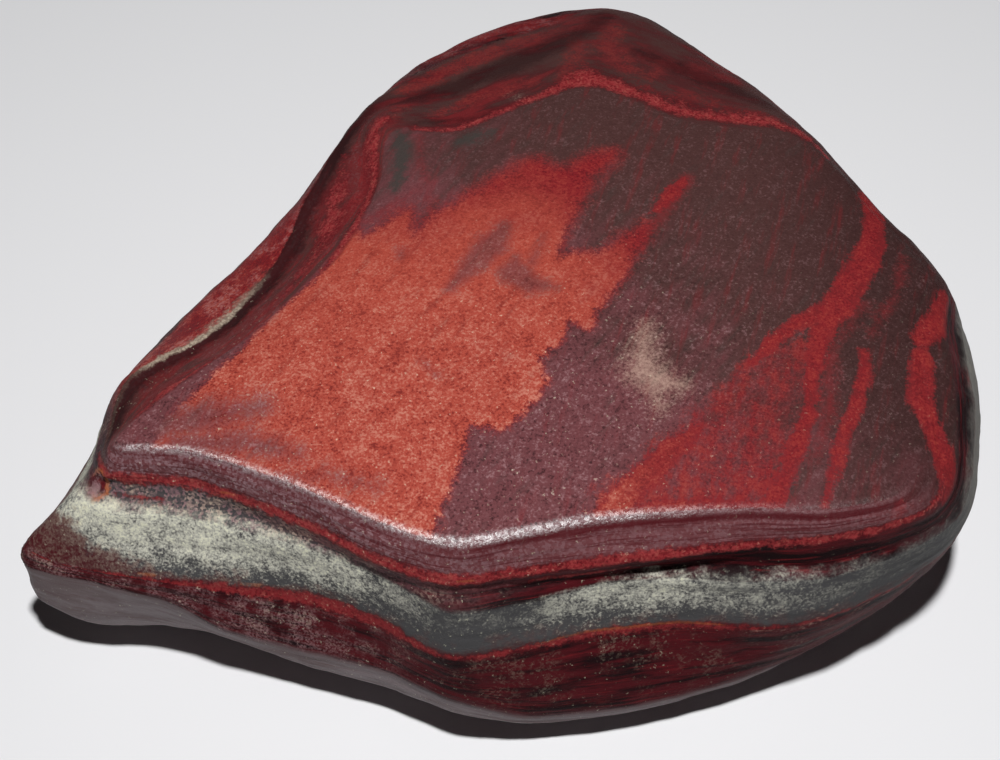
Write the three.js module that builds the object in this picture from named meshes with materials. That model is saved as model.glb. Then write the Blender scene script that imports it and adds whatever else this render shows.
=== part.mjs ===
// A water-worn slab of banded hematite and red jasper, one natural stone, in millimetres with +Z up.
// The stone is a loft. Each ring below is a closed line that follows one bed of the rock round the
// stone, from the rim of the flat top down to the small flat spot underneath that it rests on.
import * as THREE from "three";

// Driving dimensions
const TOP_HEIGHT = 29.9; // the middle of the flat top above the ground
const TOP_POWER = 5; // how late the top falls away towards its rim
const INNER_SHARE = 0.94; // the share of the way to the rim where the shoulder begins
const TOP_CENTRE = [2, -8]; // the point on the top that the inner rings close in on
const FOOT_CENTRE = [3, -6]; // the middle of the flat spot it rests on
const AROUND = 120; // samples round the stone
const TOP_STEPS = 5; // samples from the middle of the top out to the rim
const SIDE_STEPS = 33; // samples from the rim down to the flat spot
const LEAST_FADE = 0.01; // a scar is left out where less than this share of its depth remains
const CENTRE_SHIFT = [-0.35, -1.9]; // brings the middle of the stone's plan to the origin

// Stations of every ring, counterclockwise seen from above:
// 0 the spur at the front left, 1 to 6 along the front to the nose, 7 the nose, 8 to 12 along the
// front to the right, 13 the rounded front right corner, 14 to 17 up the right side, 18 and 19 the
// straight back right edge, 20 the apex at the back, 21 and 22 the back left, 23 the back left
// corner, 24 to 28 down the left side to the spur.

// The rim of the flat top, a worn rounded shoulder
const BROW = [
  [-39.6, -26.4, 28.4], [-38.7, -27.2, 28.7], [-36.8, -27.3, 28.8], [-32, -27.8, 29],
  [-25.6, -30, 29], [-18.6, -33.1, 29], [-12.2, -36.4, 29], [-5.8, -38.5, 29],
  [0.5, -37.5, 29], [8, -35.8, 29], [16, -35, 29], [24, -34.6, 29],
  [31.5, -34.6, 28.9], [39, -32, 28.8], [40.6, -22, 28.9], [40.8, -11.5, 28.9],
  [43.2, -4.6, 28.7], [38.2, 6.4, 28.5], [32, 16.6, 28.4], [20, 20, 28.5],
  [9.4, 26, 28.3], [3, 23.4, 28.4], [-6.2, 18.6, 28.4], [-13.2, 18, 28.4],
  [-14.8, 8.6, 28.5], [-20, -2.4, 28.6], [-27.2, -12.6, 28.6], [-34.6, -19.6, 28.5],
  [-38.4, -24, 28.4],
];
// The thin red seam just outside the rim at the back and on the left
const SEAM = [
  [-40.2, -26.5, 27.8], [-39.1, -27.7, 28], [-37.4, -27.9, 28], [-32.2, -28.4, 28.2],
  [-25.9, -30.6, 28.2], [-18.9, -33.8, 28.2], [-12.4, -37.2, 28.2], [-5.8, -39.4, 28.2],
  [0.5, -38.4, 28.2], [8, -36.8, 28.2], [16, -35.9, 28.2], [24, -35.4, 28.2],
  [31.7, -35.3, 28.1], [40, -32.4, 28.3], [41.4, -22, 28.8], [41.7, -11.4, 28.8],
  [44.4, -4, 28.4], [39.4, 7.2, 28.1], [33.4, 18, 27.9], [20.8, 22.6, 28],
  [8.8, 29.8, 27.6], [2.6, 26, 27.9], [-6.8, 20.8, 27.9], [-14.8, 21, 27.8],
  [-16.2, 8.9, 27.7], [-21.4, -1.6, 27.8], [-28.5, -11.9, 27.7], [-36, -19.4, 27.6],
  [-39.3, -24, 27.5],
];
// The bottom of the hollow that runs along the left side, only a slope at the front
const HOLLOW = [
  [-40.9, -26.6, 26.8], [-40, -28.1, 26.8], [-38, -28.4, 26.8], [-32.4, -28.9, 26.9],
  [-26.1, -31.1, 27], [-19.1, -34.3, 27], [-12.6, -37.9, 27], [-5.8, -40.1, 27],
  [0.5, -39.2, 27], [8, -37.8, 27], [16, -36.8, 27], [24, -36.1, 27.1],
  [31.9, -35.8, 27.2], [41, -32.6, 27.8], [42.3, -22, 28.6], [42.8, -11.2, 28.5],
  [45.3, -3.6, 28], [40.1, 7.8, 27.5], [34.9, 20.4, 26.3], [24.6, 31, 26],
  [12.4, 42, 24.6], [1.8, 34.4, 25.6], [-8.6, 28.4, 25.8], [-15.9, 24.2, 26],
  [-21.5, 11, 25.7], [-25, -0.4, 25.5], [-31.7, -10.6, 25.4], [-39, -16.9, 25.4],
  [-40.7, -23.6, 25.8],
];
// The top edge of the bright red bed: a pale thin ridge on the left
const LIP_TOP = [
  [-41.5, -26.9, 25.9], [-40.6, -28.4, 26], [-38.5, -28.6, 26], [-32.6, -29.1, 26],
  [-26.4, -31.3, 26], [-19.3, -34.6, 26], [-12.7, -38.3, 26], [-5.8, -40.6, 26],
  [0.5, -39.7, 26], [8, -38.6, 26], [16, -37.5, 26], [24, -36.6, 26.1],
  [32.1, -36.1, 26.4], [41.9, -32.6, 27.3], [43, -22, 28.5], [43.6, -11, 28.3],
  [46.2, -3.2, 27.4], [40.8, 8.4, 26.8], [35.8, 21.4, 24.8], [26.2, 34, 24.2],
  [13.6, 46, 23], [1.6, 40, 24], [-9.4, 33.4, 24.4], [-16.6, 25.8, 25.2],
  [-22.9, 11.2, 25.5], [-26.2, 0.5, 25.3], [-32.9, -9.7, 25.2], [-40.2, -15.5, 25.1],
  [-41.4, -23, 25.2],
];
// The lower edge of the red bed, which stands out as a worn lip along the front
const LIP = [
  [-42.3, -27.2, 24.9], [-41.2, -28.7, 25.1], [-39, -28.9, 25.1], [-32.8, -29.4, 25.1],
  [-26.6, -31.6, 25.1], [-19.5, -34.9, 25.1], [-12.9, -38.7, 25.1], [-5.8, -41.1, 25.1],
  [0.5, -40.2, 25.1], [8, -39.1, 25.1], [16, -38, 25.1], [24, -37, 25.2],
  [32.3, -36.5, 25.5], [42.8, -32.4, 26.4], [45.2, -22, 27.9], [46, -10.6, 27.6],
  [47.9, -2.6, 25.8], [42, 9.4, 24.8], [36.8, 22.6, 22.4], [27.4, 36, 21.8],
  [14.6, 48.2, 20.8], [2, 45.3, 21.8], [-10.2, 37, 22.4], [-17.2, 27.6, 22.8],
  [-24.3, 12.6, 23], [-30.1, 3.7, 22.2], [-36.7, -5.7, 21.8], [-41.8, -15.1, 22.8],
  [-42.6, -23.3, 23.8],
];
// The narrow recess right under the lip
const RECESS = [
  [-42.6, -27.4, 24.4], [-41.3, -28.6, 24.4], [-39.1, -28.8, 24.4], [-32.9, -29.3, 24.4],
  [-26.6, -31.3, 24.3], [-19.5, -34.4, 24.2], [-12.9, -38, 24.1], [-5.8, -40.4, 24.1],
  [0.5, -39.5, 24.1], [8, -38.6, 24.2], [16, -37.7, 24.3], [24, -37, 24.4],
  [32.4, -36.6, 24.7], [43.4, -32.2, 25.5], [46.1, -22, 27.2], [46.9, -10.3, 26.7],
  [48.5, -2.3, 24.6], [42.6, 10, 23.6], [37.3, 23.3, 21], [27.9, 36.8, 20.4],
  [14.7, 48.5, 19], [2.2, 46.4, 20], [-10.5, 38, 20.8], [-17.5, 28.3, 21.4],
  [-24.8, 13.2, 21.6], [-30.5, 4.5, 20.6], [-37.6, -4.8, 20.2], [-42.3, -14.9, 21.6],
  [-42.9, -23.4, 22.9],
];
// The foot of the dark bed below the recess, cut back to a crack on the right of the front
const CRACK = [
  [-43.4, -27.8, 23.4], [-41.7, -29.4, 23.5], [-39.5, -29.9, 23.5], [-33.3, -30.4, 23.4],
  [-26.9, -31.9, 23.2], [-19.9, -34.5, 23.1], [-13, -37.9, 23.1], [-5.8, -40.8, 23.2],
  [0.5, -39.9, 23.1], [8, -38.4, 22.9], [16, -37.1, 22.6], [24, -37.2, 22.4],
  [32.5, -36.9, 22.6], [44.4, -31.8, 24], [47.1, -22, 26.2], [48, -9.8, 25.4],
  [49.1, -2, 23.2], [43.2, 10.6, 22.2], [37.8, 24, 19.6], [28.5, 37.4, 18.8],
  [15, 48.8, 17.2], [2.4, 47.2, 18.4], [-10.8, 38.8, 19.2], [-17.9, 29.1, 19.8],
  [-25.4, 13.8, 20], [-30.9, 5.2, 19.2], [-38.2, -4.4, 18.8], [-42.9, -14.9, 20],
  [-43.3, -23.7, 21.8],
];
// The top of the grey speckled bed
const GREY_TOP = [
  [-44.6, -28.3, 22.2], [-42.4, -30.1, 22.9], [-40, -31.1, 22.9], [-33.6, -31.4, 22.8],
  [-27.2, -33, 22.7], [-20.2, -35.2, 22.5], [-13, -38.3, 22.5], [-5.8, -41.8, 22.7],
  [0.5, -40.8, 22.6], [8, -39.1, 22.3], [16, -38.2, 21.8], [24, -38.5, 21.7],
  [32.6, -37.9, 21.8], [45.4, -31.4, 22.4], [48.2, -21.8, 24.8], [49, -9.4, 24.2],
  [49.6, -1.7, 21.8], [43.8, 11.2, 21], [38.2, 24.6, 18.4], [29, 38, 17.4],
  [15.2, 48.9, 15.6], [2.6, 47.6, 17], [-11, 39.2, 17.8], [-18.4, 29.8, 18.4],
  [-26, 14.2, 18.6], [-31.5, 5.9, 17.8], [-39, -4, 17.6], [-43.4, -14.9, 18.6],
  [-44.1, -24.2, 20.6],
];
// The middle of the grey bed, hollowed along the front
const GREY_MIDDLE = [
  [-48, -29.5, 18.6], [-45.2, -31.2, 19.3], [-41.4, -32.4, 19.5], [-34.6, -33, 19.5],
  [-28.2, -34.2, 19.5], [-21, -35.8, 19.4], [-13.4, -38.7, 19.4], [-5.8, -42.7, 19.5],
  [0.5, -41.6, 19.4], [8, -39.9, 19.2], [16.4, -39, 18.9], [24.4, -39.4, 18.8],
  [33, -38.4, 18.9], [46.8, -29.9, 18.6], [49.6, -21.4, 20.6], [51.2, -9, 19.8],
  [50.6, -1.4, 18.2], [44.8, 12.2, 18], [38.9, 25.4, 15.8], [29.5, 38.4, 14.8],
  [15.3, 48.6, 13.2], [2.8, 47.4, 14.4], [-11.2, 39.2, 15.2], [-19.3, 30.6, 15.8],
  [-27.3, 15, 15.8], [-33.1, 6.7, 15.2], [-40.5, -3.6, 15.2], [-44.3, -15.2, 15.8],
  [-46.7, -25.8, 17.6],
];
// The thin red line at the foot of the grey bed
const GREY_FOOT = [
  [-50.4, -30.5, 16.1], [-47.6, -32.4, 15.9], [-42.8, -33.9, 16.3], [-35.5, -35, 16.1],
  [-29.2, -35.6, 16], [-21.7, -36.5, 15.9], [-13.8, -39.2, 15.9], [-5.8, -43.7, 16],
  [1, -42.7, 16], [8.1, -40.9, 15.9], [17, -39.9, 15.8], [25.2, -40.2, 15.8],
  [33.4, -38.6, 15.8], [47.3, -28.8, 14.6], [50.2, -20.8, 16.4], [52.1, -9.6, 16],
  [50.8, -1.6, 15], [45.2, 12.4, 15], [39.2, 25.4, 13.2], [29.6, 38, 12.2],
  [15.2, 47.8, 10.8], [2.8, 46.8, 11.8], [-11.2, 38.8, 12.6], [-19.5, 30.4, 13],
  [-28.6, 15.6, 13], [-35, 7.6, 12.6], [-41.3, -3.8, 12.8], [-45.2, -15.8, 13.6],
  [-49.2, -27.4, 15.2],
];
// The fullest part of the red jasper bed below
const BELLY = [
  [-51.4, -30.9, 14.4], [-48, -32.9, 15.1], [-43, -34.2, 15.2], [-35.9, -35.5, 14.6],
  [-29.3, -36.8, 12.9], [-22, -38.3, 12], [-14.2, -40.4, 12], [-5.7, -44.6, 12],
  [1.2, -44.5, 11.2], [8.3, -43.4, 11], [17.8, -41.8, 10.6], [26, -40.6, 10.4],
  [34.2, -37.4, 9.8], [46.6, -28.4, 9.8], [50.2, -21.2, 12.2], [51.6, -10.2, 12.4],
  [50.3, -2, 12], [44.6, 11.6, 11.6], [38.6, 24.4, 10], [28.8, 36.6, 9],
  [14.6, 45.8, 7.8], [2.4, 45, 8.6], [-11, 37.6, 9.4], [-19.2, 29.2, 9.8],
  [-28.4, 14.8, 10], [-34.8, 6.8, 9.8], [-41.4, -4.4, 10.2], [-46, -16.4, 11.4],
  [-50.4, -28.4, 13.6],
];
// The blunt keel where the side turns under
const KEEL = [
  [-51.1, -31.4, 13.4], [-48, -33.2, 14.2], [-43, -34.3, 14.2], [-36.2, -35.6, 12.8],
  [-29.2, -37.6, 10], [-22.1, -39.3, 9.2], [-14.1, -41.3, 9], [-5.4, -45.2, 8.8],
  [1.5, -45.6, 6.4], [8.5, -44.9, 6], [18, -43, 5.8], [26.2, -40.2, 5.8],
  [34.2, -36, 5.6], [45, -28.2, 6.6], [48.8, -21.6, 8.4], [49.6, -11, 8.6],
  [48.4, -3, 8.2], [42.8, 10, 8], [36.8, 22.4, 7], [27, 34.2, 6.2],
  [13.4, 42.8, 5.2], [1.8, 42, 5.8], [-10.4, 35, 6.4], [-18.2, 27.2, 6.8],
  [-27.2, 13.4, 7], [-33.6, 5.4, 7], [-40.6, -5.2, 7.6], [-45.8, -17.2, 9],
  [-50, -28.6, 12],
];
// The steep lower side, close to the ground
const HEEL = [
  [-50.2, -31.5, 6.3], [-47.5, -33.2, 5.8], [-43.2, -34, 5.2], [-36.4, -34, 5],
  [-29.4, -35.8, 5.2], [-22.2, -38.7, 5.2], [-14.1, -41.2, 5.2], [-4.8, -44.6, 5.2],
  [1.5, -44.6, 3.6], [8.4, -43.8, 3.4], [17.6, -41.8, 3.4], [25.6, -38.8, 3.4],
  [33.2, -34.4, 3.4], [42.4, -26.8, 3.8], [45.8, -20.8, 4.6], [46.4, -11.4, 4.8],
  [45, -3.6, 4.6], [39.4, 8.6, 4.4], [33.6, 20, 4], [24.4, 31, 3.6],
  [11.8, 38.8, 3.2], [0.8, 38, 3.6], [-9.6, 31.6, 3.8], [-16.8, 24.4, 4],
  [-25, 11.6, 4.2], [-31.2, 3.6, 4.2], [-37.8, -6.2, 4.6], [-43.8, -17.4, 5],
  [-47.8, -27.8, 6],
];
// The rounded underside
const SOLE = [
  [-38, -25, 1.4], [-36.5, -26.4, 1.4], [-34, -27.4, 1.3], [-29.6, -28.2, 1.3],
  [-24.2, -29.8, 1.3], [-18.4, -31.8, 1.3], [-12, -33.6, 1.3], [-4.4, -35.6, 1.3],
  [1.4, -35.6, 1.2], [7.6, -34.8, 1.2], [15.2, -33, 1.2], [22, -30.4, 1.2],
  [28.4, -26.8, 1.2], [34.4, -21.4, 1.2], [37, -16.6, 1.3], [37.2, -9.4, 1.3],
  [36, -4, 1.3], [31.2, 6, 1.3], [26.6, 14.6, 1.2], [19.4, 23, 1.2],
  [9.6, 28.8, 1.2], [0.8, 28.2, 1.2], [-7.6, 23.4, 1.2], [-13.4, 17.8, 1.2],
  [-19.6, 8.2, 1.3], [-24.6, 1.6, 1.3], [-29.8, -6, 1.3], [-34.4, -14.4, 1.4],
  [-37.2, -21.8, 1.4],
];
// The rim of the flat spot
const FOOT = [
  [-21, -16.4, 0], [-20.2, -17.8, 0], [-18.8, -19, 0], [-16.6, -20.4, 0],
  [-13.6, -21.8, 0], [-10.2, -23, 0], [-6.4, -24, 0], [-2, -24.8, 0],
  [1.6, -24.8, 0], [5.6, -24.4, 0], [10.2, -23.2, 0], [14.4, -21.4, 0],
  [18.4, -18.8, 0], [22, -15.4, 0], [23.6, -12, 0], [23.8, -7.8, 0],
  [23.2, -4, 0], [20.4, 1.4, 0], [17.2, 6, 0], [12.6, 10.2, 0],
  [6.8, 13, 0], [1.8, 12.6, 0], [-3.4, 10.2, 0], [-7.4, 7.2, 0],
  [-11.4, 2.4, 0], [-14.6, -1.4, 0], [-17.6, -5.6, 0], [-20, -10.4, 0],
  [-21, -14.2, 0],
];
// Small scars knocked out of the surface: centre, radius and depth
const SCARS = [
  { at: [-42.6, -28.6, 24], radius: 2.6, depth: 0.8 },
  { at: [24.6, -40.6, 12], radius: 1.8, depth: 0.4 },
];
const RINGS = [
  BROW, SEAM, HOLLOW, LIP_TOP, LIP, RECESS, CRACK, GREY_TOP, GREY_MIDDLE, GREY_FOOT, BELLY, KEEL,
  HEEL, SOLE, FOOT,
];

// A smooth closed line through the stations of one ring
const closedLine = (stations) => {
  const points = stations.map(([x, y, z]) => new THREE.Vector3(x, y, z));
  return new THREE.CatmullRomCurve3(points, true, "centripetal");
};

const lines = RINGS.map(closedLine);
const shift = new THREE.Vector3(CENTRE_SHIFT[0], CENTRE_SHIFT[1], 0);

// The height of the nearly flat top at a share of the way from its middle to its rim
const topHeight = (share, rimHeight) => THREE.MathUtils.lerp(TOP_HEIGHT, rimHeight, share ** TOP_POWER);

// The points of the slice at one place round the stone, from the top outwards and down
const slice = (turn) => {
  const rim = lines.map((line) => line.getPoint(turn));
  const brow = rim[0];
  const out = [];
  for (let i = 1; i < TOP_STEPS; i += 1) {
    const share = i / TOP_STEPS;
    const x = THREE.MathUtils.lerp(TOP_CENTRE[0], brow.x, share);
    const y = THREE.MathUtils.lerp(TOP_CENTRE[1], brow.y, share);
    out.push(new THREE.Vector3(x, y, topHeight(share, brow.z)));
  }
  const inner = new THREE.Vector3(TOP_CENTRE[0], TOP_CENTRE[1], brow.z).lerp(brow, INNER_SHARE);
  inner.z = topHeight(INNER_SHARE, brow.z);
  const side = new THREE.CatmullRomCurve3([inner, ...rim], false, "centripetal");
  for (let i = 0; i <= SIDE_STEPS; i += 1) out.push(side.getPoint(i / SIDE_STEPS));
  out[out.length - 1].z = 0;
  return out;
};

// Presses one scar into the surface along its normals
const knockOut = (surface, { at, radius, depth }) => {
  const position = surface.getAttribute("position");
  const normal = surface.getAttribute("normal");
  const centre = new THREE.Vector3(...at).add(shift);
  const point = new THREE.Vector3();
  const outward = new THREE.Vector3();
  for (let i = 0; i < position.count; i += 1) {
    point.fromBufferAttribute(position, i);
    outward.fromBufferAttribute(normal, i);
    const fade = Math.exp(-((point.distanceTo(centre) / radius) ** 2));
    if (fade < LEAST_FADE) continue;
    point.addScaledVector(outward, -depth * fade);
    position.setXYZ(i, point.x, point.y, point.z);
  }
};

const positions = [];
const faces = [];
let rows = 0;
for (let i = 0; i < AROUND; i += 1) {
  const points = slice(i / AROUND);
  rows = points.length;
  for (const p of points) positions.push(p.x + shift.x, p.y + shift.y, Math.max(p.z, 0));
}
const topMiddle = positions.length / 3;
positions.push(TOP_CENTRE[0] + shift.x, TOP_CENTRE[1] + shift.y, TOP_HEIGHT);
const footMiddle = topMiddle + 1;
positions.push(FOOT_CENTRE[0] + shift.x, FOOT_CENTRE[1] + shift.y, 0);

for (let i = 0; i < AROUND; i += 1) {
  const here = i * rows;
  const next = ((i + 1) % AROUND) * rows;
  faces.push(topMiddle, here, next);
  for (let j = 0; j < rows - 1; j += 1) {
    faces.push(here + j, here + j + 1, next + j + 1);
    faces.push(here + j, next + j + 1, next + j);
  }
  faces.push(footMiddle, next + rows - 1, here + rows - 1);
}

const geometry = new THREE.BufferGeometry();
geometry.setAttribute("position", new THREE.Float32BufferAttribute(positions, 3));
geometry.setIndex(faces);
geometry.computeVertexNormals();
for (const scar of SCARS) knockOut(geometry, scar);

const material = new THREE.MeshStandardMaterial({ color: 0x7a4038, roughness: 0.5, metalness: 0.1 });
const stone = new THREE.Mesh(geometry, material);
stone.name = "stone";

const specimen = new THREE.Group();
specimen.name = "hematite_specimen";
specimen.add(stone);

export default specimen;
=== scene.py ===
"""A water-worn slab of banded hematite and red jasper, resting on a pale floor."""

import math

import bpy
import numpy as np
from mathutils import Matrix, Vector, noise


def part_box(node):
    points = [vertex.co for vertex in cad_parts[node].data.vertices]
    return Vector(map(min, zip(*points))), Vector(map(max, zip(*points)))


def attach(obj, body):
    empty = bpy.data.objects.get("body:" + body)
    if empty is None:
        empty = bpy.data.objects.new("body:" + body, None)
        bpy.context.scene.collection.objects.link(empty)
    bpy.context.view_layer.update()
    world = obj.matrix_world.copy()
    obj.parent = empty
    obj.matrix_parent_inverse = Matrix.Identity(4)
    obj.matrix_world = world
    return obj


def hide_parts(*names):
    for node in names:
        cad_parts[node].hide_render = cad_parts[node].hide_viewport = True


bl_info = {
    "name": "Hematite specimen",
    "version": (1, 0, 0),
    "blender": (4, 5, 0),
    "location": "View3D > Sidebar > Stone",
    "description": "Builds a water-worn slab of banded hematite and red jasper",
    "category": "Add Mesh",
}

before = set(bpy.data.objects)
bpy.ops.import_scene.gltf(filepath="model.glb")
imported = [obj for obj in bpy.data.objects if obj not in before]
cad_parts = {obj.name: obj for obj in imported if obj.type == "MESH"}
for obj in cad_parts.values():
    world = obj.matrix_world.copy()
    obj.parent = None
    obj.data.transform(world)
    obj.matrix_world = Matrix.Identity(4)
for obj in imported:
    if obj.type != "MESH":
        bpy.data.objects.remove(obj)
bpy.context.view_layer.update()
MM = 0.001
STONE = "stone"

# Rings of the stone, in mm: each follows one bed of the rock, counterclockwise seen from above.
# Station 0 is the spur at the front left, 7 the nose, 13 the rounded front right corner, 20 the
# apex at the back, 23 the back left corner, and 24 to 28 run down the left side to the spur.
CENTRE_SHIFT = (-0.35, -1.9)
TOP_CENTRE = (2.0, -8.0)
FOOT_CENTRE = (3.0, -6.0)
BROW = [
    [-39.6, -26.4, 28.4], [-38.7, -27.2, 28.7], [-36.8, -27.3, 28.8], [-32, -27.8, 29],
    [-25.6, -30, 29], [-18.6, -33.1, 29], [-12.2, -36.4, 29], [-5.8, -38.5, 29],
    [0.5, -37.5, 29], [8, -35.8, 29], [16, -35, 29], [24, -34.6, 29],
    [31.5, -34.6, 28.9], [39, -32, 28.8], [40.6, -22, 28.9], [40.8, -11.5, 28.9],
    [43.2, -4.6, 28.7], [38.2, 6.4, 28.5], [32, 16.6, 28.4], [20, 20, 28.5],
    [9.4, 26, 28.3], [3, 23.4, 28.4], [-6.2, 18.6, 28.4], [-13.2, 18, 28.4],
    [-14.8, 8.6, 28.5], [-20, -2.4, 28.6], [-27.2, -12.6, 28.6], [-34.6, -19.6, 28.5],
    [-38.4, -24, 28.4],
]
SEAM = [
    [-40.2, -26.5, 27.8], [-39.1, -27.7, 28], [-37.4, -27.9, 28], [-32.2, -28.4, 28.2],
    [-25.9, -30.6, 28.2], [-18.9, -33.8, 28.2], [-12.4, -37.2, 28.2], [-5.8, -39.4, 28.2],
    [0.5, -38.4, 28.2], [8, -36.8, 28.2], [16, -35.9, 28.2], [24, -35.4, 28.2],
    [31.7, -35.3, 28.1], [40, -32.4, 28.3], [41.4, -22, 28.8], [41.7, -11.4, 28.8],
    [44.4, -4, 28.4], [39.4, 7.2, 28.1], [33.4, 18, 27.9], [20.8, 22.6, 28],
    [8.8, 29.8, 27.6], [2.6, 26, 27.9], [-6.8, 20.8, 27.9], [-14.8, 21, 27.8],
    [-16.2, 8.9, 27.7], [-21.4, -1.6, 27.8], [-28.5, -11.9, 27.7], [-36, -19.4, 27.6],
    [-39.3, -24, 27.5],
]
HOLLOW = [
    [-40.9, -26.6, 26.8], [-40, -28.1, 26.8], [-38, -28.4, 26.8], [-32.4, -28.9, 26.9],
    [-26.1, -31.1, 27], [-19.1, -34.3, 27], [-12.6, -37.9, 27], [-5.8, -40.1, 27],
    [0.5, -39.2, 27], [8, -37.8, 27], [16, -36.8, 27], [24, -36.1, 27.1],
    [31.9, -35.8, 27.2], [41, -32.6, 27.8], [42.3, -22, 28.6], [42.8, -11.2, 28.5],
    [45.3, -3.6, 28], [40.1, 7.8, 27.5], [34.9, 20.4, 26.3], [24.6, 31, 26],
    [12.4, 42, 24.6], [1.8, 34.4, 25.6], [-8.6, 28.4, 25.8], [-15.9, 24.2, 26],
    [-21.5, 11, 25.7], [-25, -0.4, 25.5], [-31.7, -10.6, 25.4], [-39, -16.9, 25.4],
    [-40.7, -23.6, 25.8],
]
LIP_TOP = [
    [-41.5, -26.9, 25.9], [-40.6, -28.4, 26], [-38.5, -28.6, 26], [-32.6, -29.1, 26],
    [-26.4, -31.3, 26], [-19.3, -34.6, 26], [-12.7, -38.3, 26], [-5.8, -40.6, 26],
    [0.5, -39.7, 26], [8, -38.6, 26], [16, -37.5, 26], [24, -36.6, 26.1],
    [32.1, -36.1, 26.4], [41.9, -32.6, 27.3], [43, -22, 28.5], [43.6, -11, 28.3],
    [46.2, -3.2, 27.4], [40.8, 8.4, 26.8], [35.8, 21.4, 24.8], [26.2, 34, 24.2],
    [13.6, 46, 23], [1.6, 40, 24], [-9.4, 33.4, 24.4], [-16.6, 25.8, 25.2],
    [-22.9, 11.2, 25.5], [-26.2, 0.5, 25.3], [-32.9, -9.7, 25.2], [-40.2, -15.5, 25.1],
    [-41.4, -23, 25.2],
]
LIP = [
    [-42.3, -27.2, 24.9], [-41.2, -28.7, 25.1], [-39, -28.9, 25.1], [-32.8, -29.4, 25.1],
    [-26.6, -31.6, 25.1], [-19.5, -34.9, 25.1], [-12.9, -38.7, 25.1], [-5.8, -41.1, 25.1],
    [0.5, -40.2, 25.1], [8, -39.1, 25.1], [16, -38, 25.1], [24, -37, 25.2],
    [32.3, -36.5, 25.5], [42.8, -32.4, 26.4], [45.2, -22, 27.9], [46, -10.6, 27.6],
    [47.9, -2.6, 25.8], [42, 9.4, 24.8], [36.8, 22.6, 22.4], [27.4, 36, 21.8],
    [14.6, 48.2, 20.8], [2, 45.3, 21.8], [-10.2, 37, 22.4], [-17.2, 27.6, 22.8],
    [-24.3, 12.6, 23], [-30.1, 3.7, 22.2], [-36.7, -5.7, 21.8], [-41.8, -15.1, 22.8],
    [-42.6, -23.3, 23.8],
]
RECESS = [
    [-42.6, -27.4, 24.4], [-41.3, -28.6, 24.4], [-39.1, -29.1, 24.4], [-32.9, -29.7, 24.4],
    [-26.6, -31.7, 24.3], [-19.5, -34.9, 24.2], [-12.9, -38.5, 24.1], [-5.8, -40.9, 24.1],
    [0.5, -39.9, 24.1], [8, -38.9, 24.2], [16, -37.7, 24.3], [24, -37, 24.4],
    [32.4, -36.6, 24.7], [43.4, -32.2, 25.5], [46.1, -22, 27.2], [46.9, -10.3, 26.7],
    [48.5, -2.3, 24.6], [42.6, 10, 23.6], [37.3, 23.3, 21], [27.9, 36.8, 20.4],
    [14.7, 48.5, 19], [2.2, 46.4, 20], [-10.5, 38, 20.8], [-17.5, 28.3, 21.4],
    [-24.8, 13.2, 21.6], [-30.5, 4.5, 20.6], [-37.6, -4.8, 20.2], [-42.3, -14.9, 21.6],
    [-42.9, -23.4, 22.9],
]
CRACK = [
    [-43.4, -27.8, 23.4], [-41.7, -29.4, 23.5], [-39.5, -29.9, 23.5], [-33.3, -30.4, 23.4],
    [-26.9, -31.9, 23.2], [-19.9, -34.9, 23.1], [-13, -38.2, 23.1], [-5.8, -41.2, 23.2],
    [0.5, -40.2, 23.1], [8, -38.7, 22.9], [16, -37.1, 22.6], [24, -37.2, 22.4],
    [32.5, -36.9, 22.6], [44.4, -31.8, 24], [47.1, -22, 26.2], [48, -9.8, 25.4],
    [49.1, -2, 23.2], [43.2, 10.6, 22.2], [37.8, 24, 19.6], [28.5, 37.4, 18.8],
    [15, 48.8, 17.2], [2.4, 47.2, 18.4], [-10.8, 38.8, 19.2], [-17.9, 29.1, 19.8],
    [-25.4, 13.8, 20], [-30.9, 5.2, 19.2], [-38.2, -4.4, 18.8], [-42.9, -14.9, 20],
    [-43.3, -23.7, 21.8],
]
GREY_TOP = [
    [-44.6, -28.3, 22.2], [-42.4, -30.1, 22.9], [-40, -31.1, 22.9], [-33.6, -31.4, 22.8],
    [-27.2, -33, 22.7], [-20.2, -35.2, 22.5], [-13, -38.3, 22.5], [-5.8, -41.8, 22.7],
    [0.5, -40.8, 22.6], [8, -39.1, 22.3], [16, -38.2, 21.8], [24, -38.5, 21.7],
    [32.6, -37.9, 21.8], [45.4, -31.4, 22.4], [48.2, -21.8, 24.8], [49, -9.4, 24.2],
    [49.6, -1.7, 21.8], [43.8, 11.2, 21], [38.2, 24.6, 18.4], [29, 38, 17.4],
    [15.2, 48.9, 15.6], [2.6, 47.6, 17], [-11, 39.2, 17.8], [-18.4, 29.8, 18.4],
    [-26, 14.2, 18.6], [-31.5, 5.9, 17.8], [-39, -4, 17.6], [-43.4, -14.9, 18.6],
    [-44.1, -24.2, 20.6],
]
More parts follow.
